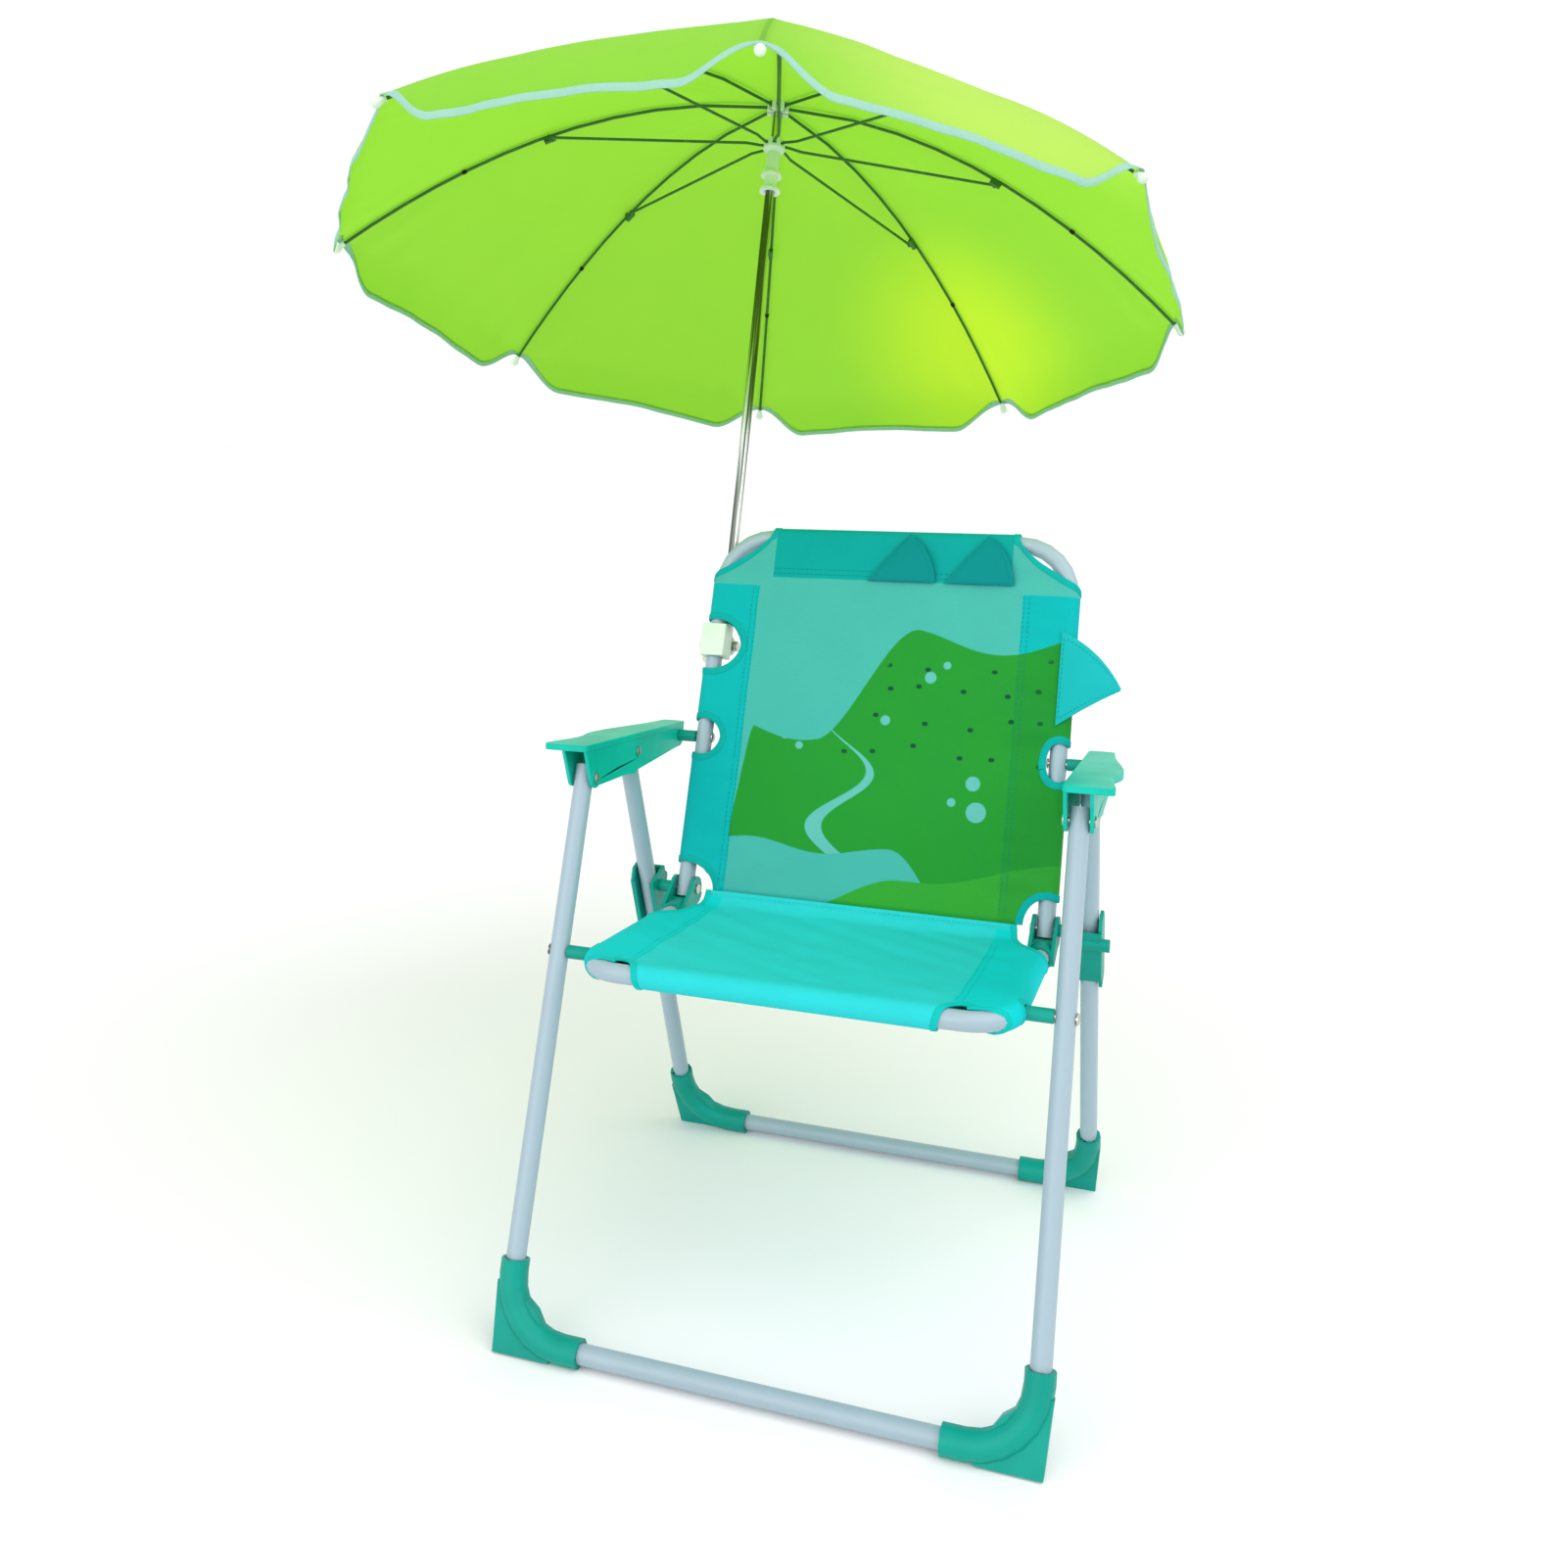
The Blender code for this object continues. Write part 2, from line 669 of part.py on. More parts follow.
def spacer(name, inner, outer, body):
    """A plastic spacer tube round a rivet, between two faces."""
    axis = (outer - inner).normalized()
    length = (outer - inner).length - 2 * FIT_GAP
    bore = RIVET_DIAMETER / 2 + FIT_GAP
    profile = [
        (SPACER_DIAMETER / 2, length),
        (SPACER_DIAMETER / 2, 0),
        (bore, 0),
        (bore, length),
    ]
    turn = axis.to_track_quat("Z", "Y").to_matrix().to_4x4()
    place = Matrix.Translation(inner + axis * FIT_GAP) @ turn
    return finish_piece(turned(name, profile, place, RIVET_SIDES, True), "teal_plastic", body)


def build_hinge_fitting(side, name, body):
    """A fork that cradles one lower end of the back tube, with a socket on the seat tube."""
    pivot = side_point(side, INNER_HALF_WIDTH, SEAT_REAR)
    tube_end = side_point(side, INNER_HALF_WIDTH, SEAT_FRONT + SEAT_ALONG * SEAT_SIDE_LENGTH)
    tip = tube_end + SEAT_ALONG * (FIT_GAP + SOCKET_WALL)
    root = tube_end - SEAT_ALONG * SOCKET_LENGTH
    fitting = rod(name, root, tip, SOCKET_RADIUS, TURNED_SIDES)
    foot = tube_end - SEAT_ALONG * SOCKET_LENGTH / 2 - pivot
    outline = arc((0, 0), FORK_LOBE, -80, 150, FORK_STEPS)
    outline += arc((foot.y, foot.z), SOCKET_RADIUS * FORK_FOOT_SHARE, 100, 270, FORK_STEPS)
    cheek_place = TUBE_RADIUS + FORK_PLAY + FORK_WALL / 2
    for number, hand in enumerate((-1, 1)):
        wall_axes = axes_at(pivot + ACROSS * hand * cheek_place, BACKWARD, FLOOR_UP, ACROSS)
        fuse(fitting, plate(f"{name}_cheek_{number}", [outline], FORK_WALL, wall_axes))
    inner = math.hypot(BACK_STUB, TUBE_RADIUS) + FORK_PLAY
    cradle = arc((0, 0), inner + FORK_WALL, *FORK_CRADLE_ANGLES, FORK_STEPS)
    cradle += reversed(arc((0, 0), inner, *FORK_CRADLE_ANGLES, FORK_STEPS))
    cradle_axes = axes_at(pivot, BACKWARD, FLOOR_UP, ACROSS)
    fuse(fitting, plate(f"{name}_cradle", [cradle], 2 * cheek_place + FORK_WALL, cradle_axes))
    boss_start = pivot + ACROSS * side * (cheek_place - FORK_WALL / 4)
    boss_end = pivot + ACROSS * side * (slider_face() - FIT_GAP - INNER_HALF_WIDTH)
    fuse(fitting, rod(f"{name}_boss", boss_start, boss_end, SPACER_DIAMETER / 2))
    bore_end = tube_end + SEAT_ALONG * FIT_GAP
    bore_start = root - SEAT_ALONG * CUT_OVERRUN
    bore = rod(f"{name}_bore", bore_start, bore_end, TUBE_RADIUS + FIT_GAP, TURNED_SIDES)
    cut(fitting, bore)
    drill(fitting, pivot, FRAME_HALF_WIDTH - INNER_HALF_WIDTH, RIVET_DIAMETER / 2 + FIT_GAP)
    return finish_piece(fitting, "teal_plastic", body)


def slider_face():
    """How far the inner face of a slider stands from the middle of the chair."""
    return FRAME_HALF_WIDTH - TUBE_RADIUS - SLIDER_SIDE_PLAY - SLIDER_WALL


def build_slider(side, name, body):
    """An open channel that slides on a rear leg. The left one is the right one, turned round."""
    leg_up = -REAR_DOWN
    web_side = leg_up.cross(ACROSS) * -side
    centre = side_point(side, FRAME_HALF_WIDTH, SEAT_REAR)
    axes = axes_at(centre, web_side.cross(leg_up), web_side, leg_up)
    half = TUBE_RADIUS + SLIDER_SIDE_PLAY
    outer = half + SLIDER_WALL
    room = TUBE_RADIUS + SLIDER_PLAY
    web = room + SLIDER_WALL
    slider = block(name, axes, (-outer, -room - SLIDER_LIP, -SLIDER_CHEEK_DROP), (outer, web, SLIDER_TOP))
    rib_centre = axes @ Vector((0, web - SLIDER_RIB_RADIUS * SLIDER_RIB_SHARE, 0))
    outward = ACROSS * side
    rib_end = rib_centre + outward * (outer + SLIDER_CAP_LENGTH)
    fuse(slider, rod(f"{name}_rib", rib_centre - outward * outer, rib_end, SLIDER_RIB_RADIUS))
    horn = [
        (-room - SLIDER_LIP, SLIDER_TOP - SLIDER_WALL),
        (room, SLIDER_TOP - SLIDER_WALL),
        (room, SLIDER_TOP + SLIDER_WALL),
        (SLIDER_HORN_SHARE * room, SLIDER_HORN),
        (-SLIDER_HORN_SHARE * room, SLIDER_HORN),
        (-room - SLIDER_LIP, SLIDER_TOP),
    ]
    horn_place = centre + outward * (half + SLIDER_WALL / 2)
    horn_axes = axes_at(horn_place, web_side, leg_up, web_side.cross(leg_up))
    fuse(slider, plate(f"{name}_horn", [horn], SLIDER_WALL, horn_axes))
    far = SLIDER_HORN + SLIDER_CHEEK_DROP
    cut(slider, block(f"{name}_pocket", axes, (-half, -room, -far), (half, room, far)))
    mouth = half - SLIDER_LIP
    cut(slider, block(f"{name}_mouth", axes, (-mouth, -far, -far), (mouth, 0, far)))
    step = (-far, room / 2, -far)
    cut(slider, block(f"{name}_step", axes, step, (far, far, -SLIDER_WEB_DROP)))
    inner_face = centre - outward * outer
    pin_reach = outward * (SLIDER_WALL + SLIDER_SIDE_PLAY)
    hole = rod(f"{name}_hole", inner_face - pin_reach, inner_face + pin_reach, RIVET_DIAMETER / 2 + FIT_GAP)
    cut(slider, hole)
    return finish_piece(slider, "teal_plastic", body)


def tangent_sleeve(centre, outward, radius, width, flat):
    """A loop round a tube, from its front round its outer side, and back to the flat panel."""
    distance = math.hypot(width, flat)
    apex = math.degrees(math.atan2(flat, -width)) - 360
    last = apex + math.degrees(math.acos(radius / distance))
    loop = arc((0, 0), radius, 90, last, SLEEVE_STEPS)
    return [(centre + outward * x, y) for x, y in loop] + [(centre - outward * width, flat)]


def sleeve_sizes():
    """The inner and outer radius of a sleeve, and the width of the hollow inside it."""
    inner = TUBE_RADIUS + FABRIC_GAP
    outer = inner + FABRIC
    lean = math.asin(outer / math.hypot(SLEEVE_WIDTH, inner)) + math.atan2(inner, SLEEVE_WIDTH)
    return inner, outer, SLEEVE_WIDTH - FABRIC / math.sin(lean)


def two_sleeves(half_width):
    """The section of a panel with a sleeve at each side: its outline and its two hollows."""
    inner, outer, hollow = sleeve_sizes()
    right = tangent_sleeve(half_width, 1, outer, SLEEVE_WIDTH, inner - HEM)
    left = tangent_sleeve(-half_width, -1, outer, SLEEVE_WIDTH, inner - HEM)
    holes = [tangent_sleeve(s * half_width, s, inner, hollow, inner) for s in (-1, 1)]
    return [right + left[::-1], *holes]


def one_sleeve(centre, low):
    """The section of a panel with a sleeve at one end."""
    inner, outer, hollow = sleeve_sizes()
    loop = tangent_sleeve(centre, 1, outer - HEM, SLEEVE_WIDTH, inner - HEM / 2)
    outline = [(low, outer - HEM), *loop, (low, inner - HEM / 2)]
    return [outline, tangent_sleeve(centre, 1, inner, hollow, inner)]


def corner_panel(name, rise, bend, axes):
    """A flat panel that fills both corners inside a tube's bends, one fabric step inside the rest."""
    inner, outer, _ = sleeve_sizes()
    radius = bend - TUBE_RADIUS - CORNER_MARGIN
    quarter = arc((INNER_HALF_WIDTH - bend, rise), radius, 0, 90, CORNER_STEPS)
    low = rise - bend / 2
    outline = [(radius + INNER_HALF_WIDTH - bend, low), *quarter]
    outline += [(-x, y) for x, y in reversed(outline)]
    thickness = outer - inner - 3 * HEM
    lift = (outer + inner) / 2 - HEM / 2
    return plate(name, [outline], thickness, axes @ Matrix.Translation((0, 0, lift)))


def build_back_sling(body):
    """The back's fabric: a flat panel, sleeves on the side tubes and one over the top bar."""
    low = BACK_SLING_FOOT
    bend_start = BACK_LENGTH - BACK_BEND
    high = bend_start - SLEEVE_END_GAP
    middle = SEAT_REAR + UP_FRAME * (low + high) / 2
    section_axes = axes_at(middle, ACROSS, FRONT_FACE, -UP_FRAME)
    sling = plate("back_sling", two_sleeves(INNER_HALF_WIDTH), high - low, section_axes)
    top = one_sleeve(BACK_LENGTH, high - SLEEVE_WIDTH / 2)
    top_width = 2 * (INNER_HALF_WIDTH - BACK_BEND - SLEEVE_END_GAP)
    fuse(sling, plate("top_sleeve", top, top_width, axes_at(SEAT_REAR, UP_FRAME, FRONT_FACE, ACROSS)))
    corner_axes = axes_at(SEAT_REAR, ACROSS, UP_FRAME, FRONT_FACE)
    fuse(sling, corner_panel("top_corners", bend_start, BACK_BEND, corner_axes))
    reach = FRONT_FACE * (TUBE_RADIUS * 2 + CUT_OVERRUN)
    cuts = [(side, 0, HINGE_CUT) for side in (-1, 1)]
    cuts += [(side, LINK_DROP, ARM_CUT) for side in (-1, 1)]
    cuts += [(-1, CLAMP_RISE, CLAMP_CUT)]
    for number, (side, rise, radius) in enumerate(cuts):
        centre = side_point(side, INNER_HALF_WIDTH, SEAT_REAR + UP_FRAME * rise)
        cut(sling, rod(f"back_cut_{number}", centre - reach, centre + reach, radius, CUT_SIDES))
    return finish_piece(sling, "teal_fabric", body)


def build_seat_sling(body):
    """The seat's fabric: a flat panel with side sleeves and one round the front bar."""
    bend_start = SEAT_BEND - SEAT_NOSE
    low = bend_start + SLEEVE_END_GAP
    rear = ARM_PITCH / SEAT_ALONG.y
    high = rear - SEAT_SLING_TAIL
    middle = SEAT_FRONT + SEAT_ALONG * (low + high) / 2
    section_axes = axes_at(middle, ACROSS, SEAT_UP, -SEAT_ALONG)
    sling = plate("seat_sling", two_sleeves(INNER_HALF_WIDTH), high - low, section_axes)
    front = one_sleeve(SEAT_NOSE, -low - SLEEVE_WIDTH / 2)
    front_width = 2 * (INNER_HALF_WIDTH - FRONT_SLEEVE_INSET)
    front_axes = axes_at(SEAT_FRONT, -SEAT_ALONG, SEAT_UP, -ACROSS)
    fuse(sling, plate("front_sleeve", front, front_width, front_axes))
    corner_axes = axes_at(SEAT_FRONT, -ACROSS, -SEAT_ALONG, SEAT_UP)
    fuse(sling, corner_panel("front_corners", -bend_start, SEAT_BEND, corner_axes))
    deep = 2 * (SEAT_DROP + TUBE_DIAMETER + CUT_OVERRUN)
    for number, side in enumerate((-1, 1)):
        notch = [(INNER_HALF_WIDTH - x, rear - y) for x, y in zip(SEAT_NOTCH_INWARD, SEAT_NOTCH_AHEAD)]
        notch += [(notch[-1][0], rear + NOTCH_BEHIND), (notch[0][0], rear + NOTCH_BEHIND)]
        notch_axes = axes_at(SEAT_FRONT, ACROSS, SEAT_ALONG, SEAT_UP)
        cut(sling, plate(f"seat_notch_{number}", [[(side * x, y) for x, y in notch]], deep, notch_axes))
        near = side_point(side, INNER_HALF_WIDTH - SEAT_EYE_REACH, SEAT_FRONT)
        far = side_point(side, INNER_HALF_WIDTH + SEAT_EYE_REACH, SEAT_FRONT)
        cut(sling, rod(f"seat_eye_{number}", near, far, SEAT_EYE))
    return finish_piece(sling, "teal_fabric", body)


def bulged(start, end, share):
    """Points from start to end along a shallow bow, whose height is a share of its length."""
    along = end - start
    bow = Vector((along.y, -along.x)) * share * 4
    steps = [i / FIN_STEPS for i in range(FIN_STEPS)]
    return [tuple(start + along * t + bow * t * (1 - t)) for t in steps]


def build_fin(name, base_start, base_end, apex, bulges, body):
    """A small double-layer flap that lies on the front of the back, with bowed free edges."""
    corners = [Vector(corner) for corner in (base_start, base_end, apex)]
    outline = []
    for corner, following, bulge in zip(corners, corners[1:] + corners[:1], bulges):
        outline += bulged(corner, following, bulge)
    lift = sleeve_sizes()[1] + FIT_GAP + FIN_THICKNESS / 2
    fin_axes = axes_at(SEAT_REAR + FRONT_FACE * lift, ACROSS, UP_FRAME, FRONT_FACE)
    return finish_piece(plate(name, [outline], FIN_THICKNESS, fin_axes), "teal_fabric", body)


def build_fins(body):
    for name, middle in zip(("top_fin_left", "top_fin_right"), TOP_FIN_CENTRES):
        half = TOP_FIN_WIDTH / 2
        start = (middle - half, TOP_FIN_BASE)
        end = (middle + half, TOP_FIN_BASE)
        apex = (middle + half * TOP_FIN_LEAN_SHARE, TOP_FIN_BASE + TOP_FIN_HEIGHT)
        build_fin(name, start, end, apex, (0, FIN_HOLLOW_SHARE, FIN_BULGE_SHARE), body)
    start = (SIDE_FIN_PLACE, SIDE_FIN_FOOT)
    apex = (SIDE_FIN_PLACE + SIDE_FIN_REACH, SIDE_FIN_FOOT + SIDE_FIN_BASE * SIDE_FIN_TIP_SHARE)
    end = (SIDE_FIN_PLACE, SIDE_FIN_FOOT + SIDE_FIN_BASE)
    build_fin("side_fin", start, apex, end, (FIN_HOLLOW_SHARE, FIN_BULGE_SHARE, 0), body)


def build_clamp(back_body, knob_body):
    """A plastic clamp round the left back tube, its cross bolt, washers and wing knob."""
    grip = side_point(-1, INNER_HALF_WIDTH, SEAT_REAR + UP_FRAME * CLAMP_RISE)
    axes = axes_at(grip, ACROSS, REAR_FACE, UP_FRAME)
    half = TUBE_RADIUS + FIT_GAP + CLAMP_WALL
    tall = CLAMP_HEIGHT / 2
    clamp = block("clamp_body", axes, (-half, -half, -tall), (half, CLAMP_REAR, tall))
    cheek_place = SOCKET_LUG / 2 + BOLT_CLEARANCE + CLEVIS_WALL / 2
    outline = arc((POLE_SETBACK, 0), CLEVIS_RADIUS, -90, 90, FORK_STEPS)
    outline += [(CLAMP_REAR - CLAMP_WALL / 2, CLEVIS_RADIUS), (CLAMP_REAR - CLAMP_WALL / 2, -CLEVIS_RADIUS)]
    for number, hand in enumerate((-1, 1)):
        wall_axes = axes_at(grip + ACROSS * hand * cheek_place, REAR_FACE, UP_FRAME, ACROSS)
        fuse(clamp, plate(f"clevis_{number}", [outline], CLEVIS_WALL, wall_axes))
    bolt_axis = grip + REAR_FACE * POLE_SETBACK
    long_cut = UP_FRAME * (tall + CUT_OVERRUN)
    cut(clamp, rod("clamp_bore", grip - long_cut, grip + long_cut, TUBE_RADIUS + FIT_GAP, TURNED_SIDES))
    slot = (-half - CUT_OVERRUN, -CLAMP_SLOT / 2, -tall - CUT_OVERRUN)
    cut(clamp, block("clamp_slot", axes, slot, (0, CLAMP_SLOT / 2, tall + CUT_OVERRUN)))
    hole = BOLT_DIAMETER / 2 + FIT_GAP
    drill(clamp, bolt_axis, cheek_place + CLEVIS_WALL, hole)
    finish_piece(clamp, "pale_plastic", back_body)

    outer = cheek_place + CLEVIS_WALL / 2
    side_axes = axes_at(bolt_axis, UP_FRAME, REAR_FACE, -ACROSS)
    shank = BOLT_DIAMETER / 2
    stack = -outer - WASHER_THICKNESS - 2 * FIT_GAP
    tip = outer + FIT_GAP + KNOB_LENGTH * KNOB_BORE_SHARE
    profile = [
        (0, tip),
        (shank, tip),
        (shank, stack),
        (NUT_WIDTH / 2, stack),
        (NUT_WIDTH / 2, stack - NUT_THICKNESS),
        (0, stack - NUT_THICKNESS),
    ]
    finish_piece(turned("clamp_bolt", profile, side_axes, RIVET_SIDES), "steel", back_body)
    top = -outer - FIT_GAP
    ring = [
        (WASHER_RADIUS, top),
        (WASHER_RADIUS, top - WASHER_THICKNESS),
        (shank + FIT_GAP, top - WASHER_THICKNESS),
        (shank + FIT_GAP, top),
    ]
    washer = turned("clamp_washer", ring, side_axes, TURNED_SIDES, True)
    finish_piece(washer, "steel", back_body)

    start = outer + FIT_GAP
    hub = [
        (0, start + KNOB_LENGTH),
        (KNOB_HUB_RADIUS * KNOB_CROWN_SHARE, start + KNOB_LENGTH),
        (KNOB_HUB_RADIUS, start + KNOB_LENGTH * KNOB_BORE_SHARE),
        (KNOB_HUB_RADIUS, start),
        (0, start),
    ]
    knob = turned("clamp_knob", hub, side_axes, TURNED_SIDES)
    wing_low = start + KNOB_LENGTH * KNOB_WING_SHARE
    wing = [
        *arc((KNOB_SPAN - KNOB_WING, wing_low + KNOB_WING), KNOB_WING, -90, 90, FORK_STEPS),
        *arc((KNOB_WING - KNOB_SPAN, wing_low + KNOB_WING), KNOB_WING, 90, 270, FORK_STEPS),
    ]
    fuse(knob, plate("knob_wings", [wing], KNOB_WING, axes_at(bolt_axis, UP_FRAME, -ACROSS, -REAR_FACE)))
    bore_end = bolt_axis - ACROSS * (tip + FIT_GAP)
    cut(knob, rod("knob_bore", bolt_axis, bore_end, hole))
    finish_piece(knob, "pale_plastic", knob_body)


def build_pole(body):
    """The parasol's tilting socket, its pole, and the notch and cap at the top of the pole."""
    foot_axes = axes_at(POLE_FOOT, ACROSS, -POLE_FRONT, POLE_UP)
    bore = POLE_DIAMETER / 2 + FIT_GAP
    cup = [
        (0, POLE_SEAT - FIT_GAP),
        (bore, POLE_SEAT - FIT_GAP),
        (bore, HOLDER_TOP),
        (HOLDER_RADIUS, HOLDER_TOP),
        (HOLDER_RADIUS, HOLDER_START),
        (0, HOLDER_START),
    ]
    holder = turned("pole_holder", cup, foot_axes, TURNED_SIDES)
    lug = arc((0, 0), CLEVIS_RADIUS, 180, 360, FORK_STEPS)
    lug += [(side * HOLDER_RADIUS * LUG_TOP_SHARE, POLE_SEAT - HOLDER_LIP) for side in (1, -1)]
    fuse(holder, plate("holder_lug", [lug], SOCKET_LUG, axes_at(POLE_FOOT, -POLE_FRONT, POLE_UP, ACROSS)))
    drill(holder, POLE_FOOT, SOCKET_LUG, BOLT_DIAMETER / 2 + FIT_GAP)
    finish_piece(holder, "pale_plastic", body)

    pole_end = POLE_TOP + POLE_UP * POLE_STUB
    pole = rod("umbrella_pole", POLE_FOOT + POLE_UP * POLE_SEAT, pole_end, POLE_DIAMETER / 2, TURNED_SIDES)
    finish_piece(pole, "tube_white", body)

    top_axes = axes_at(POLE_TOP, ACROSS, -POLE_FRONT, POLE_UP)
    notch_top = NOTCH_RISE
    notch_ring = [
        (NOTCH_RADIUS, notch_top),
        (NOTCH_RADIUS, notch_top - NOTCH_HEIGHT),
        (bore, notch_top - NOTCH_HEIGHT),
        (bore, notch_top),
    ]
    notch = turned("top_notch", notch_ring, top_axes, TURNED_SIDES, True)
    cut(notch, slots("notch_slots", POLE_TOP, -NOTCH_HEIGHT * 2, NOTCH_RISE - NOTCH_ROOF))
    finish_piece(notch, "pale_plastic", body)

    seat = COVER_TOP + COVER + FIT_GAP
    cap = [
        (0, seat + CAP_HEIGHT),
        (CAP_RADIUS * CAP_CROWN_SHARE, seat + CAP_HEIGHT),
        (CAP_RADIUS, seat + CAP_HEIGHT * CAP_SHOULDER_SHARE),
        (CAP_RADIUS, seat),
        (bore, seat),
        (bore, POLE_STUB + FIT_GAP),
        (0, POLE_STUB + FIT_GAP),
    ]
    finish_piece(turned("top_cap", cap, top_axes, TURNED_SIDES), "pale_plastic", body)


def slots(name, centre, low, high):
    """Eight cutting blocks round the pole, in the planes of the ribs."""
    mesh = bpy.data.meshes.new(name)
    shape = bmesh.new()
    half = SLOT_WIDTH / 2
    size = Vector((NOTCH_RADIUS * 2 - SLOT_START, 2 * half, high - low))
    middle = Vector((SLOT_START, -half, low)) + size / 2
    for number in range(RIB_COUNT):
        turn = Matrix.Rotation(rib_angle(number), 4, "Z")
        place = turn @ Matrix.Translation(middle) @ Matrix.Diagonal((*size, 1))
        bmesh.ops.create_cube(shape, size=1, matrix=place)
    shape.to_mesh(mesh)
    shape.free()
    return new_object(name, mesh, umbrella_axes(centre))


def umbrella_axes(centre):
    """Local X points to the front, Y to the right and Z up the pole's own line."""
    return axes_at(centre, POLE_FRONT, ACROSS, POLE_UP)


def rib_angle(number):
    return RIB_TURN + number * math.tau / RIB_COUNT


def rib_height(radius):
    """How far a rib's centre line lies below the top of the pole, at this radius."""
    share = max(radius - PIVOT_RADIUS, 0) / (RIB_SPAN - PIVOT_RADIUS)
    return -NOTCH_DROP - (RIB_DROP - NOTCH_DROP) * share**RIB_POWER


def rib_plane(number, centre=None):
    """Local X points out along one rib and Z up the pole, from the top of the pole."""
    turn = Matrix.Rotation(rib_angle(number), 4, "Z")
    return umbrella_axes(POLE_TOP if centre is None else centre) @ turn


def rib_line():
    """The centre line of a rib, closer together where it bends most."""
    shares = [(i / (RIB_POINTS - 1)) ** RIB_SPACING_POWER for i in range(RIB_POINTS)]
    radii = [PIVOT_RADIUS + (RIB_SPAN - PIVOT_RADIUS) * share for share in shares]
    return [Vector((radius, 0, rib_height(radius))) for radius in radii]


def rib_mesh():
    """One bent steel rib with a ball at its tip and the clip that its stretcher is pinned in."""
    points = rib_line()
    swells = [1.0] * len(points)
    along = (points[-1] - points[-2]).normalized()
    neck = points[-1]
    ball = RIB_TIP_RADIUS / RIB_RADIUS
    for turn in range(1, TIP_STEPS):
        angle = math.pi * turn / TIP_STEPS
        points.append(neck + along * RIB_TIP_RADIUS * (1 - math.cos(angle)))
        swells.append(max(ball * math.sin(angle), TIP_END_SHARE))
    rib = tube("rib", points, RIB_RADIUS, RIB_LEVEL, swells)
    joint = stretcher_joint()
    step = Vector((CLIP_LENGTH, 0, rib_height(joint.x + CLIP_LENGTH) - rib_height(joint.x)))
    tangent = step.normalized()
    sideways = Vector((0, 1, 0))
    clip_axes = axes_at(joint, tangent, sideways, tangent.cross(sideways))
    half = CLIP_LENGTH / 2
    roof = (rib_height(joint.x) - joint.z) * tangent.x
    fuse(rib, block("rib_clip", clip_axes, (-half, -CLIP_BACK, -STRETCHER_EYE), (half, CLIP_FACE, roof)))
    return baked_mesh(rib)


def stretcher_joint():
    """Where a stretcher is pinned to its rib, in the rib's own plane."""
    return Vector((STRETCHER_REACH, 0, rib_height(STRETCHER_REACH) - CLIP_DROP))


def stretcher_hinge():
    """Where a stretcher is pinned in the runner's crown, in the rib's own plane."""
    return Vector((PIVOT_RADIUS, 0, -RUNNER_DROP))


def stretcher_mesh():
    """One stretcher: it leaves the runner in the rib's plane and kinks to lie beside the rib."""
    outer, inner = stretcher_joint(), stretcher_hinge()
    along = (outer - inner).normalized()
    face = Vector((0, CLIP_FACE + FIT_GAP, 0))
    beside = Vector((0, CLIP_FACE + FIT_GAP + STRETCHER_RADIUS, 0))
    start, end = STRETCHER_KINK
    points = [inner, inner + along * start, inner + along * end + beside, outer + beside]
    bar = tube("stretcher", points, STRETCHER_RADIUS, RIB_LEVEL)
    fuse(bar, rod("stretcher_eye", outer + face, outer + 2 * beside - face, STRETCHER_EYE, PIN_SIDES))
    pin = Vector((0, STRETCHER_RADIUS + SLOT_PLAY / 2, 0))
    seat = inner + along * STRETCHER_RADIUS
    fuse(bar, rod("stretcher_pin", seat - pin, seat + pin, PIN_RADIUS, PIN_SIDES))
    return baked_mesh(bar)


def baked_mesh(obj):
    """The evaluated mesh of an object that several others will share."""
    bpy.context.view_layer.update()
    graph = bpy.context.evaluated_depsgraph_get()
    mesh = bpy.data.meshes.new_from_object(obj.evaluated_get(graph))
    bpy.data.objects.remove(obj)
    return mesh


def build_runner(body):
    """The sliding tube with a slotted crown, in which the stretchers' inner ends are pinned."""
    bore = POLE_DIAMETER / 2 + RUNNER_PLAY
    crown_top = RUNNER_CROWN_HEIGHT / 2
    low = crown_top - RUNNER_LENGTH
    crown_low = crown_top - RUNNER_CROWN_HEIGHT
    upper = low + RUNNER_GRIP
    flange = RUNNER_FLANGE_HEIGHT
    profile = [
        (NOTCH_RADIUS, crown_top),
        (NOTCH_RADIUS, crown_low),
        (RUNNER_RADIUS, crown_low - RUNNER_RADIUS / 2),
        (RUNNER_RADIUS, upper + flange),
        (RUNNER_FLANGE, upper + flange / 2),
        (RUNNER_FLANGE, upper),
        (RUNNER_RADIUS, upper),
        (RUNNER_RADIUS, low + flange),
        (RUNNER_FLANGE, low + flange / 2),
        (RUNNER_FLANGE, low),
        (bore, low),
        (bore, crown_top),
    ]
    place = axes_at(RUNNER_TOP, ACROSS, -POLE_FRONT, POLE_UP)
    runner = turned("runner", profile, place, TURNED_SIDES, True)
    slot_low = -STRETCHER_RADIUS - SLOT_PLAY
    cut(runner, slots("runner_slots", RUNNER_TOP, slot_low, RUNNER_CROWN_HEIGHT * 2))
    finish_piece(runner, "pale_plastic", body)


